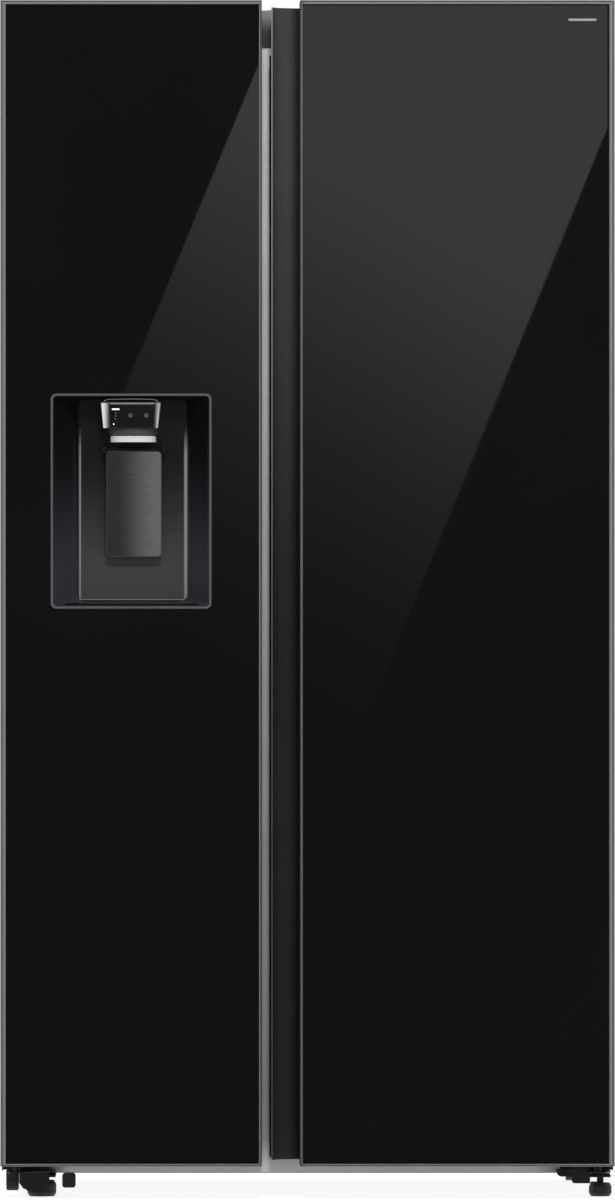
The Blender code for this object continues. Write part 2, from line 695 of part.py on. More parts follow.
def door_shell_corner(sign):
    """Plan of a door's hinge side, front to back, with its rear corner cut off to clear the cabinet."""
    side = sign * SIDE
    inner = side - sign * SHELL_CORNER_CUT
    return [(side, SHELL_FRONT), (side, SHELL_BACK - SHELL_CORNER_CUT), (inner, SHELL_BACK)]


def grip_path():
    """Plan of the finger groove: from its left edge, curving back behind the door's front."""
    sweep = bezier((-0.0519, -0.3380), (-0.0450, -0.3120), (-0.0200, -0.3060), (0.0040, -0.3060), 8)
    hook = arc((0.0040, -0.3160), 0.0100, 90, 0, 3)
    return sweep + hook[1:] + [(0.0140, -0.3430)]


def grip_bed():
    """The groove as the door's body is shaped behind it, one sheet and a gap away."""
    return [(u, v) for u, v in beside(grip_path(), GRIP_SHEET + 2 * CLEARANCE) if u >= FRIDGE_DOOR[0]]


def glazing(side, left, right, shadow_left, shadow_right, body, holes=()):
    """The metal trim round a door's front and the dark glass inside it."""
    trim_left = left + (TRIM_HINGE_SIDE if shadow_left else TRIM_FREE_SIDE)
    trim_right = right - (TRIM_HINGE_SIDE if shadow_right else TRIM_FREE_SIDE)
    low, high = DOOR_BOTTOM + TRIM_BOTTOM, HEIGHT - TRIM_TOP
    ring = prism(rectangle(left, DOOR_BOTTOM, right, HEIGHT), FRONT, TRIM_BACK, "Y",
                 holes=[rectangle(trim_left, low, trim_right, high)])
    part(f"{side}_door_trim", "satin_trim", body, ring)
    pane = rectangle(
        trim_left + (GLASS_SHADOW_GAP if shadow_left else CLEARANCE),
        low + CLEARANCE,
        trim_right - (GLASS_SHADOW_GAP if shadow_right else CLEARANCE),
        high - GLASS_SHADOW_GAP,
    )
    part(f"{side}_door_glass", "black_glass", body, prism(pane, GLASS_FRONT, TRIM_BACK, "Y", holes=holes))


def lining(side, space, sign, body):
    """The door's inner lining: a plate with a raised dyke that racks hang between, and the seal round it."""
    hinge_inset, free_inset = DYKE_HINGE_INSET, DYKE_FREE_INSET
    left = space[0] + (hinge_inset if sign < 0 else free_inset)
    right = space[1] - (free_inset if sign < 0 else hinge_inset)
    seal_left = space[0] - (GASKET_HINGE_GAP if sign < 0 else GASKET_FREE_GAP)
    seal_right = space[1] + (GASKET_FREE_GAP if sign < 0 else GASKET_HINGE_GAP)
    seal_low, seal_high = SPACE_BOTTOM - 0.0010, SPACE_TOP + 0.0020
    inner = rectangle(seal_left, seal_low, seal_right, seal_high)
    outer = rectangle(
        seal_left - GASKET_WIDTH,
        seal_low - GASKET_WIDTH,
        seal_right + GASKET_WIDTH,
        seal_high + GASKET_WIDTH,
    )
    plate_front = SHELL_BACK + CLEARANCE
    plate_back = plate_front + LINER_PLATE
    part(f"{side}_door_gasket", "grey_rubber", body,
         prism(outer, plate_back + CLEARANCE, FRAME_FRONT - 0.0010, "Y", holes=[inner]))
    low, high = SPACE_BOTTOM + 0.012, SPACE_TOP - 0.012
    dyke_inner = rectangle(left + DYKE_WIDTH, low + DYKE_WIDTH, right - DYKE_WIDTH, high - DYKE_WIDTH)
    dyke = prism(rectangle(left, low, right, high), plate_front + 0.0008, DYKE_BACK, "Y", holes=[dyke_inner])
    plate = prism(outer, plate_front, plate_back, "Y")
    part(f"{side}_door_liner", "white_liner", body, plate, add=[dyke])
    return left + DYKE_WIDTH + RACK_GAP, right - DYKE_WIDTH - RACK_GAP


def rack(name, span, heights, body):
    """An open tray that hangs on the door lining."""
    front = SHELL_BACK + CLEARANCE + LINER_PLATE + CLEARANCE
    draft = RACK_DRAFT
    bottom = rounded(span[0] + draft, front + draft, span[1] - draft, BIN_BACK - 0.018, 0.014, 3)
    top = rounded(span[0], front, span[1], BIN_BACK, 0.016, 3)
    part(name, "clear_plastic", body, open_tub(bottom, top, *heights), wall=RACK_WALL)


def make_fridge_door(door):
    left, right = FRIDGE_FACE_LEFT, FRIDGE_DOOR[1]
    overhang = (grip_bed()[-1][0], SHELL_FRONT + 0.0075)
    face = [overhang, (left + CLEARANCE, overhang[1]), (left + CLEARANCE, SHELL_FRONT)]
    plan = [(FRIDGE_DOOR[0], SHELL_BACK), *grip_bed(), *face, *door_shell_corner(1)]
    behind = [(BEYOND, LIP_BACK), (BEYOND, 0.0), (-BEYOND, 0.0), (-BEYOND, HINGE_Y)]
    notch = [(GRIP_NOTCH_X, LIP_BACK), *behind, (GRIP_NOTCH_X, HINGE_Y)]
    grip_end = left - 0.001
    cutters = [
        prism(notch, DOOR_REAR_TOP, HEIGHT + BEYOND, "Z"),
        block((-BEYOND, -BEYOND, GRIP_TOP), (grip_end, BEYOND, HEIGHT + BEYOND)),
        block((-BEYOND, -BEYOND, -BEYOND), (grip_end, BEYOND, GRIP_BOTTOM)),
    ]
    part("fridge_door_shell", "dark_plastic", door, prism(plan, DOOR_BOTTOM, HEIGHT, "Z"),
         cut=[*cutters, *pin_holes(1)])
    path = grip_path()
    part("fridge_door_grip", "grip_plastic", door,
         prism(path + beside(path, GRIP_SHEET)[::-1], GRIP_BOTTOM, GRIP_TOP, "Z"))
    glazing("fridge", left, right, False, True, door)
    span = lining("fridge", FRIDGE, 1, door)
    for level, heights in FRIDGE_RACKS.items():
        rack(f"fridge_door_bin_{level}", span, heights, door)


def recess_ring(grow, y, corner):
    """One ring of the dispenser's tub, drawn in from its mouth, as 3-D points."""
    side, low, high = grow
    outline = rounded(RECESS[0] + side, RECESS_Z[0] + low, RECESS[1] - side, RECESS_Z[1] - high, corner)
    return [(u, y, v) for u, v in outline]


def make_dispenser(door, paddle_axis):
    mouth = rounded(RECESS[0], RECESS_Z[0], RECESS[1], RECESS_Z[1], RECESS_CORNER)
    inner = rounded(RECESS[0] + BEZEL_WIDTH, RECESS_Z[0] + BEZEL_WIDTH, RECESS[1] - BEZEL_WIDTH,
                    RECESS_Z[1] - BEZEL_WIDTH, RECESS_CORNER - 0.002)
    part("dispenser_bezel", "satin_trim", door, prism(mouth, FRONT + 0.0002, TRIM_BACK, "Y", holes=[inner]))
    case = block(
        (RECESS[0] + RECESS_INSET, SHELL_FRONT, RECESS_Z[0] + RECESS_INSET),
        (RECESS[1] - RECESS_INSET, RECESS_BACK + RECESS_WALL, RECESS_Z[1] - RECESS_INSET),
    )
    hollow = loft([
        recess_ring((0.0045, 0.0045, 0.0045), SHELL_FRONT - 0.002, 0.0060),
        recess_ring((0.0060, 0.0050, 0.0045), SHELL_FRONT + 0.008, 0.0070),
        recess_ring((0.0150, 0.0065, 0.0050), SHELL_FRONT + 0.026, 0.0090),
        recess_ring((0.0290, 0.0090, 0.0060), SHELL_FRONT + 0.046, 0.0110),
        recess_ring((0.0390, 0.0120, 0.0080), RECESS_BACK, 0.0120),
    ])
    lug_y = (PADDLE_Y - 0.004, RECESS_BACK + 0.001)
    lugs = [
        block((x - LUG_HALF / 2, lug_y[0], PADDLE_AXIS_Z - LUG_HALF),
              (x + LUG_HALF / 2, lug_y[1], PADDLE_AXIS_Z + LUG_HALF))
        for x in (PADDLE_X[0] - 0.0035, PADDLE_X[1] + 0.0035)
    ]
    part("dispenser_housing", "dark_plastic", door, case, cut=[hollow], within=lugs)
    head_front = SHELL_FRONT + 0.0045
    low = rectangle(HEAD_X[0] + HEAD_TAPER, head_front + 0.001, HEAD_X[1] - HEAD_TAPER, RECESS_BACK - 0.0040)
    high = rectangle(HEAD_X[0], head_front, HEAD_X[1], RECESS_BACK - 0.0040)
    head = loft([[(u, v, HEAD_Z[0]) for u, v in low], [(u, v, HEAD_Z[1]) for u, v in high]])
    part("dispenser_head", "satin_trim", door, head)
    panel_face = [(HEAD_X[0] + 0.0060, HEAD_Z[0] + 0.003), (HEAD_X[1] - 0.0060, HEAD_Z[0] + 0.003),
                  (HEAD_X[1] - 0.0035, HEAD_Z[1] - 0.003), (HEAD_X[0] + 0.0035, HEAD_Z[1] - 0.003)]
    part("dispenser_panel", "black_glass", door,
         prism(panel_face, head_front - 0.0022, head_front - CLEARANCE, "Y"))
    outside = [(SPOUT_RING, 0.0), (SPOUT_RING, 0.0090), (SPOUT_NECK, 0.0115), (SPOUT_NECK, SPOUT_LENGTH)]
    neck = [*outside, (SPOUT_BORE, SPOUT_LENGTH), (SPOUT_BORE, 0.0)]
    spout_base = (SPOUT_X, SPOUT_Y, HEAD_Z[0] - SEAT - SPOUT_LENGTH)
    part("dispenser_spout", "pale_plastic", door,
         turned(neck, spout_base, steps=24, ring=True, squeeze=SPOUT_SQUEEZE))
    face = rounded(PADDLE_X[0], PADDLE_Z[0], PADDLE_X[1], PADDLE_Z[1], PADDLE_CORNER)
    plate = prism(face, PADDLE_Y - PADDLE_SHEET / 2, PADDLE_Y + PADDLE_SHEET / 2, "Y")
    ends = [(PADDLE_BARREL, x) for x in PADDLE_X]
    barrel = turned(ends, (0, PADDLE_Y, PADDLE_AXIS_Z), "X", 12)
    web = block((PADDLE_X[0] + 0.01, PADDLE_Y - 0.0015, PADDLE_Z[1] - 0.004),
                (PADDLE_X[1] - 0.01, PADDLE_Y + 0.0015, PADDLE_AXIS_Z))
    part("dispenser_paddle", "brushed_dark_metal", paddle_axis, plate, add=[web, barrel])


def make_freezer_door(door, paddle_axis):
    left, right = FREEZER_DOOR
    plan = [(right, SHELL_BACK), (right, SHELL_FRONT), *door_shell_corner(-1)]
    notch = block((-BEYOND, LIP_BACK, DOOR_REAR_TOP), (BEYOND, BEYOND, HEIGHT + BEYOND))
    make_dispenser(door, paddle_axis)
    gap = RECESS_INSET - CLEARANCE
    pocket = block(
        (RECESS[0] + gap, SHELL_FRONT - 0.010, RECESS_Z[0] + gap),
        (RECESS[1] - gap, RECESS_BACK + RECESS_WALL + CLEARANCE, RECESS_Z[1] - gap),
    )
    part("freezer_door_shell", "dark_plastic", door, prism(plan, DOOR_BOTTOM, HEIGHT, "Z"),
         cut=[notch, pocket, *pin_holes(-1)])
    opening = rounded(RECESS[0] - CLEARANCE, RECESS_Z[0] - CLEARANCE, RECESS[1] + CLEARANCE,
                      RECESS_Z[1] + CLEARANCE, RECESS_CORNER + CLEARANCE)
    glazing("freezer", left, right, True, False, door, holes=[opening])
    span = lining("freezer", FREEZER, -1, door)
    for name, heights in FREEZER_RACKS.items():
        rack(name, span, heights, door)


def main():
    clear_scene()
    make_looks()
    root = axis_empty("cabinet_origin", (0.0, 0.0, 0.0))
    make_cabinet(root)
    make_hinges(root)
    condenser_rotor = axis_empty("condenser_fan_axis", CONDENSER_FAN_AT)
    evaporator_rotor = axis_empty("evaporator_fan_axis", EVAPORATOR_FAN_AT)
    make_machinery(root, condenser_rotor, evaporator_rotor)
    drawers = {}
    for side, space in (("freezer", FREEZER), ("fridge", FRIDGE)):
        for level, height in (("upper", 0.470), ("lower", 0.220)):
            middle = (space[0] + space[1]) / 2
            start = (middle, SHELF_FRONT, height)
            drawers[f"{side}_{level}"] = axis_empty(f"{side}_drawer_{level}_slide", start)
    make_interior(root, drawers)
    wheels = {}
    for side, (x, z, _) in FRONT_ROLLERS.items():
        wheels[f"front_{side}"] = axis_empty(f"front_{side}_axle", (x, FRONT_ROLLER_Y, z))
    for side, x in REAR_ROLLERS_X.items():
        wheels[f"rear_{side}"] = axis_empty(f"rear_{side}_axle", (x, REAR_ROLLER_Y, REAR_ROLLER_RADIUS))
    feet = {}
    for side, x in FOOT_X.items():
        feet[side] = axis_empty(f"{side}_foot_screw", (x, FOOT_Y, 0.0))
    make_running_gear(wheels, feet)
    freezer_door = axis_empty("freezer_door_axis", (-HINGE_X, HINGE_Y, DOOR_BOTTOM))
    fridge_door = axis_empty("fridge_door_axis", (HINGE_X, HINGE_Y, DOOR_BOTTOM))
    paddle_axis = axis_empty("dispenser_paddle_axis", (SPOUT_X, PADDLE_Y, PADDLE_AXIS_Z))
    make_freezer_door(freezer_door, paddle_axis)
    make_fridge_door(fridge_door)


main()
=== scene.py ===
import math

import bmesh
import bpy
from mathutils import Matrix, Vector


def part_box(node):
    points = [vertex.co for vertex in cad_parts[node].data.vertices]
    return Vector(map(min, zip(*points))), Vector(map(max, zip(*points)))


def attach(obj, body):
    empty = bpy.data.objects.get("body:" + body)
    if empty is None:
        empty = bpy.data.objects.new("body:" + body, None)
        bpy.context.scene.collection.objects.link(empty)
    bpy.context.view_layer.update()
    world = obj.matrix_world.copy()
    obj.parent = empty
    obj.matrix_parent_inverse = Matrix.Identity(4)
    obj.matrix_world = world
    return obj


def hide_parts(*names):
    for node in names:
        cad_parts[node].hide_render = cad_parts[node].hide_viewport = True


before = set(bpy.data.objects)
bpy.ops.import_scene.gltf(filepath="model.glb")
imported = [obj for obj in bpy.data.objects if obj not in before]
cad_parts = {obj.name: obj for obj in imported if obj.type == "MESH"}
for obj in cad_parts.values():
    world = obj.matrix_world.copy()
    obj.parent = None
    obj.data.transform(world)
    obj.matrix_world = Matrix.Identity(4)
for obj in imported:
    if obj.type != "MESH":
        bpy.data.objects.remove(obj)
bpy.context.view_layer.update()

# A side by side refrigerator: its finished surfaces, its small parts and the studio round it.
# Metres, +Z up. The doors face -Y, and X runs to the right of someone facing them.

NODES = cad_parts
CABINET = "cabinet"
FREEZER_DOOR = "freezer_door"
FRIDGE_DOOR = "fridge_door"
PADDLE = "dispenser_paddle"

# The picture: a long lens on the middle of the doors, square on.
SIGHT_Y = -20.144
SIGHT_HEIGHT = 0.88973
LENS = 400.0
SENSOR = 36.0

# The studio, in metres and in scene-linear brightness.
BACKGROUND_LEVEL = 1.0
SKY_LIGHT = 0.45
DARK_CARD_LEVEL = 0.085
DARK_CARD_Y = -6.0
GLARE_CARD_Y = -5.9
GLARE_LEVEL = 0.84
EDGE_ANGLE = math.radians(35)
FLOOR_CORNERS = ((-9, -26, 0), (9, -26, 0), (9, 14, 0), (-9, 14, 0))
FLOOR_LEVEL = 0.30
FLOOR_GLOW = 0.86

# Each light: its place, the point it faces, its width and height, and its power in watts.
LIGHTS = {
    "key": ((0.0500, -4.2, 3.3), (-0.0610, 0.0, 0.9), (0.6, 0.6), 120.0),
    "rim": ((-3.2, 3.6, 3.4), (0.0, 0.3, 0.9), (1.5, 1.5), 90.0),
    "fill": ((1.6, -5.0, 1.2), (0.0, 0.0, 0.6), (2.5, 2.5), 40.0),
}

# The window's light on the glass: its outline there, the heights that it fades over, and how it fades.
CARD_SCALE = 1.287
DARK_CARD = ((-16.0, -16.0), (16.0, -16.0), (16.0, 10.0), (-16.0, 10.0))
GLARE_TILT = 0.55
GLARE_START, GLARE_FULL = 0.6358, 1.5582
GLARE_FADE = (
    (0.140, 0.012), (0.195, 0.026), (0.302, 0.056), (0.356, 0.096), (0.463, 0.186), (0.534, 0.254),
    (0.640, 0.405), (0.747, 0.583), (0.840, 0.742), (0.947, 0.934),
)
GLARE_EDGE = ((-0.0228, 1.8000), (-0.6420, 0.3000), (-0.0810, 0.3000), (0.5293, 1.8000))

# Doors: their front plane and height, and the trim's section as (across, deep) pairs.
FRONT = -0.3580
DOOR_LOW, DOOR_HIGH = 0.0490, 1.7800
TRIM_LOW, TRIM_HIGH = 0.0040, 0.0060
TRIM_HINGE_SIDE, TRIM_FREE_SIDE = 0.0080, 0.0040
GLASS_HINGE_GAP, GLASS_FREE_GAP, GLASS_TOP_GAP = 0.0031, 0.0004, 0.0021
# A near-black sheet behind the gap round each door's glass is painted shadow in that gap; these are its
# depths.
GLASS_GAP_SHADOW_DEPTHS = (FRONT + 0.0034, FRONT + 0.0058)
TRIM_SECTION = (
    (0.0, 0.0060), (0.0, 0.0010), (0.0006, 0.0003), (0.0018, 0.0003), (0.0023, 0.0030), (0.0036, 0.0030),
    (0.0041, 0.0), (0.0082, 0.0), (0.0090, 0.0008), (0.0090, 0.0060),
)
# A thin bright strip on the grip's left edge, as a painted highlight.
GRIP_HIGHLIGHT_STRIP = ((-0.0535, -0.3392, 0.0590), (-0.0521, -0.3362, 1.7690))
# A thin near-black fin beside the grip, dark as painted shadow.
GRIP_SHADOW_FIN = ((-0.0568, -0.3020, 0.0600), (-0.0541, -0.2990, 1.7000))
BADGE = (0.3870, 1.7492, 0.4290, 1.7526)
BADGE_DEPTHS = (-0.3569, -0.3564)

# The dispenser's recess: its raised back panel, the tray under it, and the head over it.
PANEL_X = (-0.3400, -0.1790)
PANEL_Z = (0.8895, 1.1900)
PANEL_FRONT = -0.2935
# The bright strips on the back panel's sides are painted highlights: each with its x, inward sign and width.
PANEL_EDGES = {"left": (PANEL_X[0], 1, 0.0030), "right": (PANEL_X[1], -1, 0.0050)}
RECESS_BACK = -0.2900
TRAY = (-0.3600, -0.3440, -0.1640, -0.2970)
TRAY_Z = (0.8822, 0.8846)
GRILLE_SLOTS = 9
GRILLE_LEFT, GRILLE_PITCH, GRILLE_WIDTH = -0.3500, 0.0210, 0.0150
GRILLE_Y = (-0.3400, -0.3010)
HEAD_FRONT = -0.3494
HEAD_FACE = HEAD_FRONT - 0.0002
ARCH_Y = -0.3440
ARCH = (
    (-0.3020, 1.1838), (-0.3010, 1.1862), (-0.2960, 1.1878), (-0.2625, 1.1884), (-0.2290, 1.1878),
    (-0.2240, 1.1862), (-0.2230, 1.1838),
)
ARCH_RADIUS = 0.0009
CHEEKS = {"left": (-0.3063, 0.0033, 0.0130), "right": (-0.2190, -0.0033, -0.0085)}
CHEEK_Z = (1.1450, 1.1820)
MARK_SHEET = 0.00015
DASH = (-0.2904, 1.1718, -0.2793, 1.1742)
LEVEL_X = (-0.2862, -0.2836)
LEVEL_Z, LEVEL_PITCH, LEVEL_HEIGHT = 1.1662, 0.0046, 0.0026
LAMP_DOT, LAMP_DOT_RADIUS = (-0.2876, 1.1508), 0.0011
BUTTONS_X = (-0.2629, -0.2393)
BUTTON_Z, BUTTON_RADIUS = 1.1638, 0.0034
LIGHT_RING = ((0.0341, 0.0), (0.0341, 0.0085), (0.0336, 0.0090), (0.0270, 0.0090), (0.0270, 0.0))
LIGHT_RING_AT = (-0.2590, -0.3200, 1.1243)
LIGHT_RING_SQUEEZE = 0.66
PADDLE_FACE = (-0.2990, 0.9540, -0.2170, 1.1110)
PADDLE_RIM = (-0.2980, 0.9550, -0.2180, 1.1100)
PADDLE_CORNER = 0.0060
PADDLE_RIM_DEPTHS = (-0.3178, -0.3173)
PADDLE_BARREL_LOW, PADDLE_BARREL_TOP = 1.1095, 1.1115

# Under the doors: the rail, its ends, the stop, the fork, the rollers and the feet.
RAIL_Y = -0.2535
RAIL_X = (-0.3890, 0.3770)
RAIL_Z = (0.0352, 0.0810)
RAIL_FOOT_HALF = 0.3700
RAIL_ENDS = {"left": (-0.4545, -0.3890), "right": (0.3770, 0.4545)}
RAIL_END_LOW = 0.0400
STOP = (-0.3660, 0.0130, -0.3460, 0.0346)
FORK = ((-0.4300, 0.0400), (-0.4300, 0.0200), (-0.4240, 0.0120), (-0.4180, 0.0100), (-0.4180, 0.0400))
FORK_Y = (-0.2600, -0.1900)
ROLLERS = {
    "front_roller_left": (-0.4410, 0.02305, 0.01565, 20),
    "front_roller_right": (0.4320, 0.0110, 0.0090, 14),
}
ROLLER_Y = -0.205
RIB_HALF = (0.0080, 0.0007)
STEMS = {"left": (-0.3965, 0.0242), "right": (0.4370, 0.0202)}
FOOT_Y = -0.2380
THREAD_TURNS, THREAD_PITCH = 9, 0.0018
THREAD_RING = ((0.0046, 0.0), (0.0056, 0.0005), (0.0046, 0.0010))

# The back: its sheets, louvres, inlets, beads and screws.
SHEET = (0.3560, 0.3572)
COVER_OUTLINE = (-0.4540, 0.0440, 0.4540, 0.3022)
LOUVRE_LEFTS = (-0.4000, -0.1800, 0.0400, 0.2600)
LOUVRE_WIDTH = 0.1500
LOUVRE_Z = (0.0900, 0.2600)
LOUVRE_ROWS, LOUVRE_PITCH, LOUVRE_SHARE = 10, 0.0170, 0.45
LIP_RISE = 0.0078
SOCKET = (0.2020, 0.1480, 0.2480, 0.1760)
SOCKET_PINS_X = (0.2160, 0.2250, 0.2340)
WATER_INLET = (-0.2150, 0.0, 0.1600)
WATER_HOLE_RADIUS = 0.0150
WATER_CUP = (
    (0.0150, 0.3572), (0.0150, 0.3420), (0.0020, 0.3420), (0.0020, 0.3405), (0.0165, 0.3405),
    (0.0165, 0.3572),
)
WATER_THREAD_START, WATER_THREAD_PITCH, WATER_THREAD_TURNS = 0.3430, 0.0020, 6
PANEL_OUTLINE = (-0.4545, 0.3026, 0.4545, 1.7425)
BEADS_X = (-0.3300, -0.1100, 0.1100, 0.3300)
BEAD_HALF = 0.0110
BEAD_Z = (0.3800, 1.6700)
BACK_SCREW_Y = 0.3563
BACK_SCREWS = (
    ((-0.4440, -0.2200, 0.0, 0.2200, 0.4440), (1.7310, 0.3120)),
    ((-0.4340, -0.2200, 0.0, 0.2200, 0.4340), (0.2880, 0.0550)),
)
SCREW_RADIUS = 0.0042
RATING_PLATE = (0.1500, 1.4200, 0.2500, 1.4900)

# The top: the caps over the hinges and the fittings of the cover between them.
HINGE = (0.4320, -0.3000)
CAP_EYE = 0.0160
CAP_ARM = (
    (0.4340, -0.2860), (0.4340, -0.1690), (0.4280, -0.1630), (0.3910, -0.1630), (0.3850, -0.1690),
    (0.3850, -0.2450), (0.3960, -0.2700),
)
CAP_Z = (1.7488, 1.7610)
CAP_SCREW = (0.4100, -0.1900, 1.7608)
COVER_SCREWS_X = (-0.3400, 0.0, 0.3400)
HATCH = (-0.0600, -0.2300, 0.0600, -0.2000)
HATCH_Z = (1.7697, 1.7706)

# The inside: lamps, the fan's guard, the coils and the pipes.
SPACES = {"freezer": (-0.4110, -0.0950), "fridge": (-0.0270, 0.4110)}
RACKS = {
    "fridge_door_bin_upper": FRIDGE_DOOR,
    "fridge_door_bin_middle": FRIDGE_DOOR,
    "fridge_door_bin_lower": FRIDGE_DOOR,
    "freezer_door_bin_upper": FREEZER_DOOR,
    "freezer_door_bin_lower": FREEZER_DOOR,
    "ice_bucket": FREEZER_DOOR,
}
DRAWER_RIBS = (-0.09, 0.0, 0.09)
GUARD_AT = (-0.2530, 0.0, 1.1300)
GUARD_RINGS = (0.0500, 0.0380, 0.0260, 0.0140)
GUARD_Y = (0.2546, 0.2564)
GUARD_SPOKES = 4
FIN_COUNT, FIN_PITCH = 39, 0.0110
CONTROL_PANEL = (0.1270, 1.5400, 0.2570, 1.5700)
SUCTION_PIPE = (
    (0.2100, 0.2000, 0.1700), (0.1900, 0.1850, 0.2000), (0.1500, 0.1800, 0.2300), (0.1200, 0.1900, 0.2800),
)
OUTLET_PIPE = (
    (0.2900, 0.1900, 0.1500), (0.3400, 0.1800, 0.1700), (0.3700, 0.2000, 0.2200), (0.3600, 0.2500, 0.2700),
    (0.2000, 0.3000, 0.2800), (0.0, 0.3100, 0.2800), (-0.1400, 0.2800, 0.2740),
)
STARTER = ((0.3250, 0.2300, 0.0900), (0.3600, 0.2750, 0.1300))
WIRE_COUNT, WIRE_PITCH = 21, 0.0120
SHROUD = ((0.0740, 0.0280), (0.0780, 0.0280), (0.0780, 0.0520), (0.0740, 0.0520))
SHROUD_AT = (0.0, 0.2480, 0.1650)
RIDGE_STEPS = (0.0035, 0.0070)
RIDGE_GROW, RIDGE_SHEET = 0.0012, 0.0012


# Materials -------------------------------------------------------------------------------------------------


def node(tree, kind, **values):
    """A new node with its sockets or settings filled in."""
    made = tree.nodes.new(kind)
    for name, value in values.items():
        if name in made.inputs:
            made.inputs[name].default_value = value
        else:
            setattr(made, name, value)
    return made


def surface(name, colour, roughness, metallic=0.0, tone=0.08, tone_scale=14.0, gloss_change=0.06,
            grain=0.02, grain_scale=900.0, stretch=(1.0, 1.0, 1.0), depth=0.0004, painted_shading=(), **sockets):
    """A material whose colour drifts in soft patches and whose gloss and height carry a fine grain;
    painted_shading scales its colour along an axis, as painted light and shade.
    """
    look = bpy.data.materials.new(name)
    look.use_nodes = True
    tree = look.node_tree
    shader = tree.nodes["Principled BSDF"]
    shader.inputs["Metallic"].default_value = metallic
    for socket, value in sockets.items():
        shader.inputs[socket.replace("_", " ")].default_value = value
    place = node(tree, "ShaderNodeTexCoord")
    spread = node(tree, "ShaderNodeMapping", Scale=stretch)
    tree.links.new(place.outputs["Object"], spread.inputs["Vector"])
    patches = node(tree, "ShaderNodeTexNoise", Scale=tone_scale, Detail=3.0)
    tree.links.new(spread.outputs["Vector"], patches.inputs["Vector"])
    ramp = node(tree, "ShaderNodeValToRGB")
    ends = ramp.color_ramp.elements
    ends[0].position, ends[1].position = 0.3, 0.7
    ends[0].color = (*[c * (1 - tone) for c in colour], 1.0)
    ends[1].color = (*[min(c * (1 + tone), 1.0) for c in colour], 1.0)
    tree.links.new(patches.outputs["Fac"], ramp.inputs["Fac"])
    base = ramp.outputs["Color"]
    # Each painted_shading entry is painted light and shade: it scales the colour between two levels along
    # one axis.
    for axis, start, end, from_level, to_level in painted_shading:
        parts = node(tree, "ShaderNodeSeparateXYZ")
        tree.links.new(place.outputs["Object"], parts.inputs[0])
        level = node(tree, "ShaderNodeMapRange", interpolation_type="SMOOTHSTEP")
        limits = {"From Min": start, "From Max": end, "To Min": from_level, "To Max": to_level}
        for socket, value in limits.items():
            level.inputs[socket].default_value = value
        tree.links.new(parts.outputs[axis], level.inputs["Value"])
        scaled = node(tree, "ShaderNodeVectorMath", operation="SCALE")
        tree.links.new(base, scaled.inputs[0])
        tree.links.new(level.outputs["Result"], scaled.inputs["Scale"])
        base = scaled.outputs["Vector"]
    tree.links.new(base, shader.inputs["Base Color"])
    fine = node(tree, "ShaderNodeTexNoise", Scale=grain_scale, Detail=2.0)
    tree.links.new(spread.outputs["Vector"], fine.inputs["Vector"])
    gloss = node(tree, "ShaderNodeMapRange")
    gloss.inputs["From Min"].default_value = 0.3
    gloss.inputs["From Max"].default_value = 0.7
    gloss.inputs["To Min"].default_value = max(roughness - gloss_change / 2, 0.0)
    gloss.inputs["To Max"].default_value = roughness + gloss_change / 2
    tree.links.new(fine.outputs["Fac"], gloss.inputs["Value"])
    tree.links.new(gloss.outputs["Result"], shader.inputs["Roughness"])
    if grain:
        bump = node(tree, "ShaderNodeBump", Strength=grain, Distance=depth)
        tree.links.new(fine.outputs["Fac"], bump.inputs["Height"])
        tree.links.new(bump.outputs["Normal"], shader.inputs["Normal"])
    return look


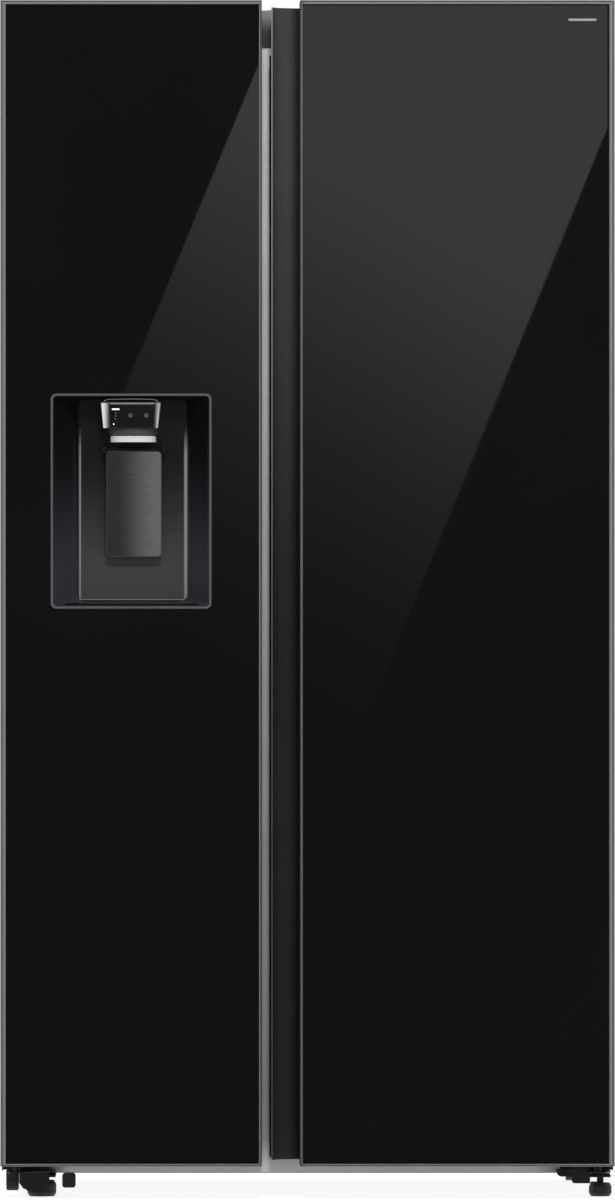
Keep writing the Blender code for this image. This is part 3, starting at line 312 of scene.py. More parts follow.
def make_looks():
    brushed_level = (4.0, 4.0, 90.0)
    looks = {
        "case_paint": surface("case_paint", (0.115, 0.117, 0.122), 0.38, grain=0.25, grain_scale=1400.0,
                              tone=0.05),
        "galvanised_steel": surface("galvanised_steel", (0.50, 0.51, 0.52), 0.40, 0.80, tone=0.06,
                                    tone_scale=70.0, gloss_change=0.16, grain=0.05),
        # frame_paint: painted light and shade, lighter towards the top and darker towards the bottom.
        "frame_paint": surface("frame_paint", (0.58, 0.585, 0.595), 0.36, 0.15, tone=0.05, grain=0.10,
                               painted_shading=(("Z", 0.05, 1.77, 0.75, 1.30),)),
        "foam": surface("foam", (0.78, 0.70, 0.46), 0.9, tone=0.12, grain=0.6, grain_scale=500.0),
        "white_liner": surface("white_liner", (0.80, 0.81, 0.82), 0.30, tone=0.03, grain=0.12,
                               grain_scale=1100.0),
        "dark_plastic": surface("dark_plastic", (0.022, 0.022, 0.026), 0.42, tone=0.14, grain=0.30,
                                grain_scale=1500.0),
        "door_body": surface("door_body", (0.040, 0.041, 0.044), 0.34, 0.4, tone=0.08, grain=0.16,
                             grain_scale=1300.0),
        "satin_trim": surface("satin_trim", (0.21, 0.21, 0.215), 0.32, 0.35, tone=0.06, tone_scale=5.0,
                              grain=0.06, grain_scale=600.0, stretch=(30.0, 30.0, 1.0)),
        # freezer_trim and fridge_trim are shaded copies of one trim metal: painted shade darkens each trim
        # towards the gap between the doors.
        "freezer_trim": surface("freezer_trim", (0.21, 0.21, 0.215), 0.32, 0.35, tone=0.05, tone_scale=5.0,
                                grain=0.05, grain_scale=600.0, stretch=(30.0, 30.0, 1.0),
                                painted_shading=(("X", -0.0720, -0.0690, 1.0, 0.50),)),
        "fridge_trim": surface("fridge_trim", (0.21, 0.21, 0.215), 0.32, 0.35, tone=0.05, tone_scale=5.0,
                               grain=0.05, grain_scale=600.0, stretch=(30.0, 30.0, 1.0),
                               painted_shading=(("X", -0.0108, 0.0, 0.60, 1.0),)),
        # rail_paint: painted shade, darker towards the brackets at both ends of the rail.
        "rail_paint": surface("rail_paint", (0.52, 0.525, 0.535), 0.36, 0.15, tone=0.05, grain=0.10,
                              painted_shading=(("X", -0.3890, -0.3450, 0.30, 1.0), ("X", 0.3300, 0.3770, 1.0, 0.55))),
        "black_glass": surface("black_glass", (0.0022, 0.0022, 0.0024), 0.012, tone=0.2, tone_scale=2.0,
                               gloss_change=0.012, grain=0.0, grain_scale=3.0, IOR=1.5),
        # grip_plastic: painted shade, darker towards the bottom and towards the right, into the finger
        # pocket.
        "grip_plastic": surface("grip_plastic", (0.0595, 0.0595, 0.0625), 0.36, 0.1, tone=0.05, grain=0.12,
                                grain_scale=1200.0,
                                painted_shading=(("Z", 0.80, 1.65, 0.38, 1.0), ("X", -0.030, -0.012, 1.0, 0.25))),
        # The grip's edge strip: a painted highlight along its left edge, fading towards the bottom.
        "grip_painted_highlight": surface("grip_painted_highlight", (0.40, 0.40, 0.42), 0.30, 0.4, tone=0.04, grain=0.03,
                             painted_shading=(("Z", 0.60, 1.65, 0.30, 1.0),)),
        # cover_plastic: painted light on the hinge cover's rounded top, fading to painted shade below it.
        "cover_plastic": surface("cover_plastic", (0.20, 0.20, 0.205), 0.40, tone=0.06, grain=0.20,
                                 grain_scale=1200.0, painted_shading=(("Z", 1.731, 1.768, 0.25, 1.0),)),
        "bezel_metal": surface("bezel_metal", (0.125, 0.125, 0.13), 0.30, 0.45, tone=0.06, grain=0.04),
        "neck_plastic": surface("neck_plastic", (0.045, 0.045, 0.048), 0.30, tone=0.06, grain=0.06),
        "bare_steel": surface("bare_steel", (0.42, 0.42, 0.43), 0.36, 0.9, tone=0.10, tone_scale=40.0,
                              grain=0.06),
        "grey_rubber": surface("grey_rubber", (0.20, 0.20, 0.21), 0.75, tone=0.08, grain=0.3,
                               grain_scale=800.0),
        # brushed_dark: a painted reflection across the paddle, dark on the left and bright towards the
        # right.
        "brushed_dark": surface("brushed_dark", (0.085, 0.085, 0.088), 0.34, 0.55, tone=0.12, tone_scale=8.0,
                                painted_shading=(("X", -0.285, -0.222, 0.45, 2.1),),
                                gloss_change=0.16, grain=0.35, grain_scale=14.0, stretch=brushed_level),
        # bright_satin: painted shade, dark over the dispenser head's lower part and lighter at its top.
        "bright_satin": surface("bright_satin", (0.50, 0.50, 0.51), 0.22, 0.60, tone=0.06, grain=0.05,
                                grain_scale=40.0, stretch=(1.0, 1.0, 30.0),
                                painted_shading=(("Z", 1.150, 1.180, 0.08, 0.75),)),
        "badge_metal": surface("badge_metal", (0.36, 0.36, 0.37), 0.35, 0.3, tone=0.04, grain=0.04),
        "pale_plastic": surface("pale_plastic", (0.46, 0.46, 0.47), 0.34, tone=0.05, grain=0.10),
        "clear_plastic": surface("clear_plastic", (0.86, 0.90, 0.93), 0.10, tone=0.03, grain=0.0,
                                 Transmission_Weight=0.92, IOR=1.3),
        "shelf_glass": surface("shelf_glass", (0.82, 0.92, 0.90), 0.03, tone=0.03, grain=0.0,
                               Transmission_Weight=0.95, IOR=1.35),
        "aluminium": surface("aluminium", (0.72, 0.72, 0.73), 0.34, 1.0, tone=0.10, grain=0.15,
                             grain_scale=500.0),
        "black_steel": surface("black_steel", (0.020, 0.020, 0.022), 0.36, 0.2, tone=0.2, tone_scale=30.0,
                               grain=0.30, grain_scale=1000.0),
        "zinc_screw": surface("zinc_screw", (0.62, 0.62, 0.60), 0.30, 1.0, tone=0.12, tone_scale=200.0,
                              grain=0.1),
        "copper": surface("copper", (0.70, 0.33, 0.19), 0.30, 1.0, tone=0.15, tone_scale=60.0, grain=0.1),
        # deep_black is the drip tray's and the paddle barrel's own colour, and also stands in for painted
        # shadow on the grip's fin and behind the gaps round the glass.
        "deep_black": surface("deep_black", (0.004, 0.004, 0.004), 0.60, tone=0.2, grain=0.05),
        "icon_print": surface("icon_print", (0.050, 0.050, 0.055), 0.5, tone=0.04, grain=0.02),
        "icon_lit": surface("icon_lit", (0.85, 0.85, 0.85), 0.5, tone=0.02, grain=0.02),
        # recess_gloss: painted shade, dark in the upper part of the dispenser recess, and painted light
        # towards its bottom.
        "recess_gloss": surface("recess_gloss", (0.020, 0.020, 0.025), 0.24, tone=0.10, grain=0.05,
                                grain_scale=1300.0, painted_shading=(("Z", 0.900, 1.120, 1.5, 0.25),)),
        # recess_panel: painted shade, darker towards the top of the recess's back panel.
        "recess_panel": surface("recess_panel", (0.060, 0.060, 0.063), 0.30, 0.3, tone=0.06, grain=0.05,
                                grain_scale=1300.0, painted_shading=(("Z", 0.90, 1.11, 1.0, 0.15),)),
        # Bright metal: the chrome of the head's arch, and a painted highlight on the strip along the back
        # panel's bottom.
        "chrome_and_painted_highlight": surface("chrome_and_painted_highlight", (0.42, 0.42, 0.44), 0.25, 0.6, tone=0.05, grain=0.03),
        # Painted highlight on the back panel's side edges, fading out towards the top.
        "panel_edge_painted_highlight": surface("panel_edge_painted_highlight", (0.36, 0.36, 0.38), 0.25, 0.5, tone=0.04, grain=0.03,
                             painted_shading=(("Z", 1.100, 1.150, 1.0, 0.06),)),
        # cheek_left and cheek_right are lit and shaded copies of one metal. They carry painted reflections,
        # bright on each cheek's outer side and dark on its inner side, and the right one is also lighter
        # towards the bottom.
        "cheek_left": surface("cheek_left", (0.74, 0.74, 0.75), 0.28, 0.3, tone=0.04, grain=0.03,
                              painted_shading=(("X", -0.3040, -0.2935, 1.0, 0.03),)),
        "cheek_right": surface("cheek_right", (0.50, 0.50, 0.51), 0.28, 0.3, tone=0.04, grain=0.03,
                               painted_shading=(("X", -0.2275, -0.2200, 0.03, 1.0), ("Z", 1.145, 1.180, 1.4, 0.7))),
        "light_ring": surface("light_ring", (0.52, 0.52, 0.53), 0.40, tone=0.04, grain=0.03),
        # paddle_rim: dark as painted shadow round the paddle's edge.
        "paddle_rim": surface("paddle_rim", (0.060, 0.060, 0.063), 0.40, 0.3, tone=0.05, grain=0.03),
        "lamp_cover": surface("lamp_cover", (0.85, 0.87, 0.90), 0.35, tone=0.02, grain=0.05,
                              Subsurface_Weight=0.2),
    }
    return looks


LOOKS = make_looks()


# Shapes ----------------------------------------------------------------------------------------------------

AXIS_ORDER = {
    "X": Matrix(((0, 0, 1, 0), (1, 0, 0, 0), (0, 1, 0, 0), (0, 0, 0, 1))),
    "Y": Matrix(((1, 0, 0, 0), (0, 0, 1, 0), (0, 1, 0, 0), (0, 0, 0, 1))),
    "Z": Matrix.Identity(4),
}


def rectangle(left, low, right, high):
    return [(left, low), (right, low), (right, high), (left, high)]


def arc(centre, radius, start, end, steps):
    angles = [math.radians(start + (end - start) * step / steps) for step in range(steps + 1)]
    return [(centre[0] + radius * math.cos(a), centre[1] + radius * math.sin(a)) for a in angles]


def circle(centre, radius, steps=24):
    return arc(centre, radius, 0, 360 - 360 / steps, steps - 1)


def rounded(left, low, right, high, radius, steps=6):
    points = []
    for quarter, (u, v) in enumerate(((right, high), (left, high), (left, low), (right, low))):
        middle_u, middle_v = (left + right) / 2, (low + high) / 2
        centre = (u - math.copysign(radius, u - middle_u), v - math.copysign(radius, v - middle_v))
        points += arc(centre, radius, 90 * quarter, 90 * quarter + 90, steps)
    return points


def prism(outline, low, high, along, holes=()):
    """The outline, less its holes, swept from low to high along an axis."""
    bm = bmesh.new()
    edges = []
    for loop in (outline, *holes):
        corners = [bm.verts.new((u, v, low)) for u, v in loop]
        edges += [bm.edges.new(pair) for pair in zip(corners, corners[1:] + corners[:1])]
    if holes:
        bmesh.ops.triangle_fill(bm, use_beauty=True, edges=edges, normal=(0, 0, 1))
    else:
        bm.faces.new(bm.verts[:])
    grown = bmesh.ops.extrude_face_region(bm, geom=bm.faces[:])["geom"]
    tops = [item for item in grown if isinstance(item, bmesh.types.BMVert)]
    bmesh.ops.translate(bm, verts=tops, vec=(0, 0, high - low))
    bmesh.ops.transform(bm, verts=bm.verts[:], matrix=AXIS_ORDER[along])
    return bm


def block(low, high):
    return prism(rectangle(low[0], low[1], high[0], high[1]), low[2], high[2], "Z")


def loft(loops, ring=False):
    """Loops of as many 3-D points each, joined in order, and last to first in a ring."""
    bm = bmesh.new()
    rings = [[bm.verts.new(point) for point in loop] for loop in loops]
    pairs = list(zip(rings, rings[1:])) + ([(rings[-1], rings[0])] if ring else [])
    for one, two in pairs:
        for index in range(len(one)):
            bm.faces.new((one[index - 1], one[index], two[index], two[index - 1]))
    if not ring:
        bm.faces.new(rings[0])
        bm.faces.new(rings[-1])
    return bm


def turned(profile, centre, along="Z", steps=32, ring=False, squeeze=1.0):
    """(radius, height) pairs turned round an axis through the centre."""
    loops = []
    for radius, height in profile:
        loops.append([(u, v * squeeze, height) for u, v in circle((0, 0), radius, steps)])
    bm = loft(loops, ring=ring)
    bmesh.ops.transform(bm, verts=bm.verts[:], matrix=Matrix.Translation(centre) @ AXIS_ORDER[along])
    return bm


def merged(shapes):
    """Several separate shapes as one mesh."""
    whole = bmesh.new()
    for shape in shapes:
        mesh = bpy.data.meshes.new("part")
        bmesh.ops.recalc_face_normals(shape, faces=shape.faces[:])
        shape.to_mesh(mesh)
        shape.free()
        whole.from_mesh(mesh)
        bpy.data.meshes.remove(mesh)
    return whole


def piece(name, shape, look, body, bevel=0.0, segments=2):
    """A finished piece that rides on a body, its edges rounded by the bevel."""
    bmesh.ops.recalc_face_normals(shape, faces=shape.faces[:])
    mesh = bpy.data.meshes.new(name)
    shape.to_mesh(mesh)
    shape.free()
    mesh.materials.append(LOOKS[look])
    obj = bpy.data.objects.new(name, mesh)
    bpy.context.scene.collection.objects.link(obj)
    mesh.shade_smooth()
    mesh.set_sharp_from_angle(angle=EDGE_ANGLE)
    if bevel:
        soften(obj, bevel, segments)
    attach(obj, body)
    return obj


def soften(obj, width, segments):
    """Rounds the edges, and keeps the flats flat."""
    rounding = obj.modifiers.new("edges", "BEVEL")
    rounding.width = width
    rounding.segments = segments
    rounding.limit_method = "ANGLE"
    rounding.angle_limit = EDGE_ANGLE
    rounding.harden_normals = True


def tube(name, points, radius, look, body):
    """A round rod or pipe along the points."""
    curve = bpy.data.curves.new(name, "CURVE")
    curve.dimensions = "3D"
    curve.bevel_depth = radius
    curve.bevel_resolution = 3
    curve.use_fill_caps = True
    spline = curve.splines.new("POLY")
    spline.points.add(len(points) - 1)
    for target, point in zip(spline.points, points):
        target.co = (*point, 1.0)
    spline.use_smooth = True
    curve.materials.append(LOOKS[look])
    obj = bpy.data.objects.new(name, curve)
    bpy.context.scene.collection.objects.link(obj)
    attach(obj, body)


def screw_shape(centre, radius, facing):
    """A domed screw head that faces along +Y or +Z."""
    profile = [(radius, 0.0), (radius, 0.0006), (radius * 0.8, 0.0013), (radius * 0.3, 0.0017)]
    dome = turned(profile, (0, 0, 0), "Z", 20)
    spin = Matrix.Rotation(math.radians({"+Y": -90, "+Z": 0}[facing]), 4, "X")
    bmesh.ops.transform(dome, verts=dome.verts[:], matrix=Matrix.Translation(centre) @ spin)
    return dome


# The room: a pale floor under a white sky, soft lights, and dark cards that only the glass mirrors.

def emitter(name, level):
    material = bpy.data.materials.new(name)
    material.use_nodes = True
    tree = material.node_tree
    tree.nodes.clear()
    out = tree.nodes.new("ShaderNodeOutputMaterial")
    shine = tree.nodes.new("ShaderNodeEmission")
    shine.inputs["Strength"].default_value = level
    tree.links.new(shine.outputs["Emission"], out.inputs["Surface"])
    return material, tree, shine


def card(name, corners, y, material):
    """A flat card facing the object that only mirror reflections see."""
    mesh = bpy.data.meshes.new(name)
    mesh.from_pydata([(x, y, z) for x, z in corners], [], [list(range(len(corners)))])
    mesh.materials.append(material)
    obj = bpy.data.objects.new(name, mesh)
    bpy.context.scene.collection.objects.link(obj)
    obj.visible_camera = False
    obj.visible_diffuse = False
    obj.visible_shadow = False
    obj.visible_transmission = False
    return obj


def mirrored_spot(x, z):
    """Where the glass at (x, z) sees the card, seen from the camera."""
    return x * CARD_SCALE, SIGHT_HEIGHT + (z - SIGHT_HEIGHT) * CARD_SCALE


def glare_material():
    """A window's light on the glass: brightest at its top right, fading down and to the left."""
    material, tree, shine = emitter("glare_card", 1.0)
    spot = tree.nodes.new("ShaderNodeNewGeometry")
    along = tree.nodes.new("ShaderNodeVectorMath")
    along.operation = "DOT_PRODUCT"
    along.inputs[1].default_value = (GLARE_TILT, 0.0, 1.0)
    tree.links.new(spot.outputs["Position"], along.inputs[0])
    reach = tree.nodes.new("ShaderNodeMapRange")
    reach.inputs["From Min"].default_value = mirrored_spot(0.0, GLARE_START)[1]
    reach.inputs["From Max"].default_value = mirrored_spot(0.0, GLARE_FULL)[1]
    tree.links.new(along.outputs["Value"], reach.inputs["Value"])
    fade = tree.nodes.new("ShaderNodeValToRGB")
    ramp = fade.color_ramp
    ramp.elements[0].color = (0.0, 0.0, 0.0, 1.0)
    ramp.elements[1].color = (1.0, 1.0, 1.0, 1.0)
    for place, level in GLARE_FADE:
        added = ramp.elements.new(place)
        added.color = (level, level, level, 1.0)
    tree.links.new(reach.outputs[0], fade.inputs[0])
    level = tree.nodes.new("ShaderNodeMath")
    level.operation = "MULTIPLY_ADD"
    level.inputs[1].default_value = GLARE_LEVEL
    level.inputs[2].default_value = DARK_CARD_LEVEL
    tree.links.new(fade.outputs[0], level.inputs[0])
    tree.links.new(level.outputs[0], shine.inputs["Strength"])
    return material


def make_room():
    scene = bpy.context.scene
    scene.view_settings.view_transform = "Standard"
    world = bpy.data.worlds.new("studio")
    scene.world = world
    world.use_nodes = True
    tree = world.node_tree
    sky = tree.nodes["Background"]
    sky.inputs["Color"].default_value = (1.0, 1.0, 1.0, 1.0)
    seen = tree.nodes.new("ShaderNodeLightPath")
    level = tree.nodes.new("ShaderNodeMapRange")
    level.inputs["To Min"].default_value = SKY_LIGHT
    level.inputs["To Max"].default_value = BACKGROUND_LEVEL
    tree.links.new(seen.outputs["Is Camera Ray"], level.inputs["Value"])
    tree.links.new(level.outputs["Result"], sky.inputs["Strength"])
    mesh = bpy.data.meshes.new("floor")
    mesh.from_pydata(FLOOR_CORNERS, [], [(0, 1, 2, 3)])
    mesh.materials.append(floor_material())
    floor = bpy.data.objects.new("floor", mesh)
    scene.collection.objects.link(floor)
    floor.visible_glossy = False
    dark, _, _ = emitter("dark_card", DARK_CARD_LEVEL)
    card("dark_card", DARK_CARD, DARK_CARD_Y, dark)
    corners = [mirrored_spot(x, z) for x, z in GLARE_EDGE]
    card("glare_card", corners, GLARE_CARD_Y, glare_material())
    lens = bpy.data.cameras.new("camera")
    lens.lens = LENS
    lens.sensor_width = SENSOR
    lens.sensor_fit = "VERTICAL"
    lens.sensor_height = SENSOR
    lens.clip_end = 200.0
    camera = bpy.data.objects.new("camera", lens)
    camera.location = (0.0, SIGHT_Y, SIGHT_HEIGHT)
    camera.rotation_euler = (math.radians(90), 0.0, 0.0)
    scene.collection.objects.link(camera)
    scene.camera = camera


def floor_material():
    material = bpy.data.materials.new("floor")
    material.use_nodes = True
    shader = material.node_tree.nodes["Principled BSDF"]
    shader.inputs["Base Color"].default_value = (FLOOR_LEVEL, FLOOR_LEVEL, FLOOR_LEVEL, 1.0)
    shader.inputs["Roughness"].default_value = 0.9
    shader.inputs["Specular IOR Level"].default_value = 0.0
    shader.inputs["Emission Color"].default_value = (1.0, 1.0, 1.0, 1.0)
    shader.inputs["Emission Strength"].default_value = FLOOR_GLOW
    return material


def area(name, place, toward, size, power):
    light = bpy.data.lights.new(name, "AREA")
    light.shape = "RECTANGLE"
    light.size, light.size_y = size
    light.energy = power
    obj = bpy.data.objects.new(name, light)
    obj.location = place
    aim = Vector(toward) - Vector(place)
    obj.rotation_euler = aim.to_track_quat("-Z", "Y").to_euler()
    bpy.context.scene.collection.objects.link(obj)
    obj.visible_glossy = False
    obj.visible_camera = False
    return obj


# Pieces on the dispenser.

def make_dispenser():
    left, right = PANEL_X
    low, high = PANEL_Z
    # The back panel darkens towards its top, as painted shade under the recess's roof.
    panel = block((left, PANEL_FRONT, low), (right, RECESS_BACK - 0.0001, high))
    piece("dispenser_back_panel", panel, "recess_panel", FREEZER_DOOR, 0.0012, segments=3)
    # Bright strips along the panel's sides, as painted highlights.
    for side, (x, inward, wide) in PANEL_EDGES.items():
        outline = [(x - inward * 0.0012, PANEL_FRONT + 0.0020), (x, PANEL_FRONT - 0.0010),
                   (x + inward * 0.5 * wide, PANEL_FRONT - 0.0018),
                   (x + inward * wide, PANEL_FRONT - 0.0004), (x + inward * wide, PANEL_FRONT + 0.0020)]
        piece(f"dispenser_edge_{side}", prism(outline, low + 0.0010, high - 0.0400, "Z"), "panel_edge_painted_highlight",
              FREEZER_DOOR, 0.0004)
    # A bright strip along the back panel's bottom, as a painted highlight.
    bottom = block((left + 0.0010, PANEL_FRONT - 0.0016, low),
                   (right - 0.0010, PANEL_FRONT + 0.0010, low + 0.0014))
    piece("dispenser_edge_bottom", bottom, "chrome_and_painted_highlight", FREEZER_DOOR, 0.0003)
    grille = []
    for number in range(GRILLE_SLOTS):
        x = GRILLE_LEFT + GRILLE_PITCH * number
        grille.append(rounded(x, GRILLE_Y[0], x + GRILLE_WIDTH, GRILLE_Y[1], 0.0020, 3))
    tray = prism(rounded(*TRAY, 0.0060), *TRAY_Z, "Z", holes=grille)
    piece("dispenser_drip_tray", tray, "deep_black", FREEZER_DOOR, 0.0003)

    # The head: a bright arch over it, its printed marks, and the lit ring under its neck.
    tube("dispenser_head_arch", [(x, ARCH_Y, z) for x, z in ARCH], ARCH_RADIUS, "chrome_and_painted_highlight", FREEZER_DOOR)
    foot, crown = CHEEK_Z
    # The cheeks' bright outer sides and dark inner sides are painted reflections.
    for side, (x, lean, inward) in CHEEKS.items():
        cheek = [(x, crown), (x + lean, foot), (x + lean + 0.8 * inward, foot), (x + inward, crown)]
        piece(f"dispenser_cheek_{side}", prism(cheek, HEAD_FACE - 0.0006, HEAD_FRONT, "Y"), f"cheek_{side}",
              FREEZER_DOOR, 0.0005)
    marks = [("dash", rectangle(*DASH), "icon_lit")]
    for number in range(3):
        z = LEVEL_Z - LEVEL_PITCH * number
        bar = rectangle(LEVEL_X[0], z, LEVEL_X[1], z + LEVEL_HEIGHT)
        marks.append((f"level_{number}", bar, "icon_print"))
    marks.append(("lamp_dot", circle(LAMP_DOT, LAMP_DOT_RADIUS, 12), "icon_lit"))
    for number, x in enumerate(BUTTONS_X):
        marks.append((f"button_{number}", circle((x, BUTTON_Z), BUTTON_RADIUS, 20), "icon_print"))
    for name, outline, look in marks:
        mark = prism(outline, HEAD_FACE - MARK_SHEET, HEAD_FACE, "Y")
        piece(f"dispenser_mark_{name}", mark, look, FREEZER_DOOR)
    ring = turned(LIGHT_RING, LIGHT_RING_AT, "Z", 40, ring=True, squeeze=LIGHT_RING_SQUEEZE)
    piece("dispenser_light_ring", ring, "light_ring", FREEZER_DOOR, 0.0005)
    # The paddle's dark rim is painted shadow round its edge.
    core = rounded(*PADDLE_RIM, PADDLE_CORNER - 0.0010)
    rim = prism(rounded(*PADDLE_FACE, PADDLE_CORNER), *PADDLE_RIM_DEPTHS, "Y", holes=[core])
    piece("dispenser_paddle_rim", rim, "paddle_rim", PADDLE, 0.0001)


# Several of these looks carry painted light and shade: frame_paint, cover_plastic, grip_plastic,
# bright_satin, brushed_dark and recess_gloss.
CAD_LOOKS = {
    "outer_case": "case_paint",
    "back_panel": "galvanised_steel",
    "base_pan": "galvanised_steel",
    "cabinet_foam": "foam",
    "front_frame": "frame_paint",
    "bottom_rail": "frame_paint",
    "compressor": "black_steel",
    "condenser": "black_steel",
    "machine_cover": "galvanised_steel",
    "freezer_evaporator": "aluminium",
    "freezer_door_trim": "satin_trim",
    "fridge_door_trim": "satin_trim",
    "dispenser_bezel": "bezel_metal",
    "top_hinge_cover": "cover_plastic",
    "top_hinge_left": "galvanised_steel",
    "top_hinge_right": "galvanised_steel",
    "dispenser_head": "bright_satin",
    "dispenser_panel": "black_glass",
    "dispenser_paddle": "brushed_dark",
    "dispenser_housing": "recess_gloss",
    "dispenser_spout": "neck_plastic",
    "fridge_door_grip": "grip_plastic",
    "freezer_door_glass": "black_glass",
    "fridge_door_glass": "black_glass",
    "freezer_door_gasket": "grey_rubber",
    "fridge_door_gasket": "grey_rubber",
}


def look_of(name):
    """The look of a node, by its name."""
    if name in CAD_LOOKS:
        return CAD_LOOKS[name]
    if "door_shell" in name:
        return "door_body"
    if "hinge" in name and "cover" not in name:
        return "black_steel"
    if "drawer_cover" in name or "crisper_cover" in name or "_shelf_" in name:
        return "shelf_glass"
    if "bin" in name or "bucket" in name or "drawer" in name:
        return "clear_plastic"
    if "liner" in name or "duct" in name or "evaporator_cover" in name:
        return "white_liner"
    return "dark_plastic"


BEVELS = {
    "freezer_door_trim": 0.0008,
    "fridge_door_trim": 0.0008,
    "freezer_door_glass": 0.0006,
    "fridge_door_glass": 0.0006,
    "outer_case": 0.0003,
    "dispenser_head": 0.0010,
    "dispenser_bezel": 0.0006,
}


def door_trim(side, left, right, left_width, right_width):
    """A metal frame mitred at its corners, with a fine groove that narrows with each side's width."""
    full = TRIM_SECTION[-1][0]
    loops = []
    for across, deep in TRIM_SECTION:
        share = across / full
        low, high = DOOR_LOW + share * TRIM_LOW, DOOR_HIGH - share * TRIM_HIGH
        ends = (left + share * left_width, right - share * right_width)
        loops.append([(u, FRONT + deep, v) for u, v in rectangle(ends[0], low, ends[1], high)])
    body = FREEZER_DOOR if side == "freezer" else FRIDGE_DOOR
    # Its freezer_trim or fridge_trim look carries painted shade towards the doors' gap.
    frame_piece = piece(f"{side}_door_trim_profile", loft(loops, ring=True), f"{side}_trim", body, 0.0002)
    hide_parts(f"{side}_door_trim")
    inner_left, inner_right = left + left_width, right - right_width
    low, high = DOOR_LOW + TRIM_LOW, DOOR_HIGH - TRIM_HIGH
    gaps = (GLASS_HINGE_GAP, GLASS_FREE_GAP) if side == "freezer" else (GLASS_FREE_GAP, GLASS_HINGE_GAP)
    pane = rectangle(inner_left + gaps[0], low + GLASS_FREE_GAP, inner_right - gaps[1], high - GLASS_TOP_GAP)
    around = rectangle(inner_left - 0.0001, low - 0.0001, inner_right + 0.0001, high + 0.0001)
    # A near-black sheet behind the gap round the glass, as painted shadow in that gap.
    piece(f"{side}_door_glass_gap_shadow", prism(around, *GLASS_GAP_SHADOW_DEPTHS, "Y", holes=[pane]), "deep_black", body)


def make_door_trims():
    door_trim("freezer", -0.4560, -0.0680, TRIM_HINGE_SIDE, TRIM_FREE_SIDE)
    door_trim("fridge", -0.0110, 0.4560, TRIM_FREE_SIDE, TRIM_HINGE_SIDE)
    # A bright strip along the grip's left edge, as a painted highlight.
    piece("fridge_grip_painted_highlight", block(*GRIP_HIGHLIGHT_STRIP), "grip_painted_highlight", FRIDGE_DOOR, 0.0004)
    # A thin fin between the strip and the grip, near-black as painted shadow.
    piece("fridge_grip_shadow_fin", block(*GRIP_SHADOW_FIN), "deep_black", FRIDGE_DOOR, 0.0003)
    badge = prism(rounded(*BADGE, 0.0016), *BADGE_DEPTHS, "Y")
    piece("fridge_badge_bar", badge, "badge_metal", FRIDGE_DOOR, 0.0001)


def make_underside():
    """The rail under the doors, and the brackets and stops beside the feet."""
    low, high = RAIL_Z
    face = block((RAIL_X[0], RAIL_Y, low), (RAIL_X[1], RAIL_Y + 0.0013, high))
    foot = block((-RAIL_FOOT_HALF, RAIL_Y, low), (RAIL_FOOT_HALF, RAIL_Y + 0.0240, low + 0.0013))
    # The folded rail's look is darker towards its ends, as painted shade beside the brackets.
    rail = piece("bottom_rail_folded", merged([face, foot]), "rail_paint", CABINET, 0.0003)
    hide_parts("bottom_rail")
    for side, (left, right) in RAIL_ENDS.items():
        end = block((left, RAIL_Y, RAIL_END_LOW), (right, RAIL_Y + 0.0010, high))
        piece(f"rail_end_{side}", end, "black_steel", CABINET, 0.0003)
    stop = prism(rounded(*STOP, 0.0040, 4), RAIL_Y + 0.0020, RAIL_Y + 0.0150, "Y")
    piece("rail_stop_left", stop, "dark_plastic", CABINET, 0.0006)
    piece("roller_fork_left", prism(FORK, *FORK_Y, "Y"), "dark_plastic", CABINET, 0.0008)


def make_roller_ribs():
    """Ridges across each front roller's tread."""
    wide, thick = RIB_HALF
    for name, (x, z, radius, rows) in ROLLERS.items():
        ribs = []
        for row in range(rows):
            angle = math.tau * row / rows
            rib = block((-wide, radius - 0.0004, -thick), (wide, radius + 0.0003, thick))
            spin = Matrix.Rotation(angle, 4, "X")
            bmesh.ops.transform(rib, verts=rib.verts[:], matrix=Matrix.Translation((x, ROLLER_Y, z)) @ spin)
            ribs.append(rib)
        piece(f"{name}_ribs", merged(ribs), "dark_plastic", name)


def make_stem_threads():
    """Thread ridges up each levelling foot's stem."""
    for side, (x, low) in STEMS.items():
        rings = []
        for row in range(THREAD_TURNS):
            rings.append(turned(THREAD_RING, (x, FOOT_Y, low + THREAD_PITCH * row), "Z", 20))
        piece(f"foot_stem_thread_{side}", merged(rings), "zinc_screw", f"levelling_foot_{side}")


# The back, the top and the inside.

def vents(left, right, low, high, rows, share):
    """Level slots with round ends, one above another."""
    pitch = (high - low) / rows
    return [rounded(left, low + pitch * row, right, low + pitch * (row + share), 0.0030, 2)
            for row in range(rows)]


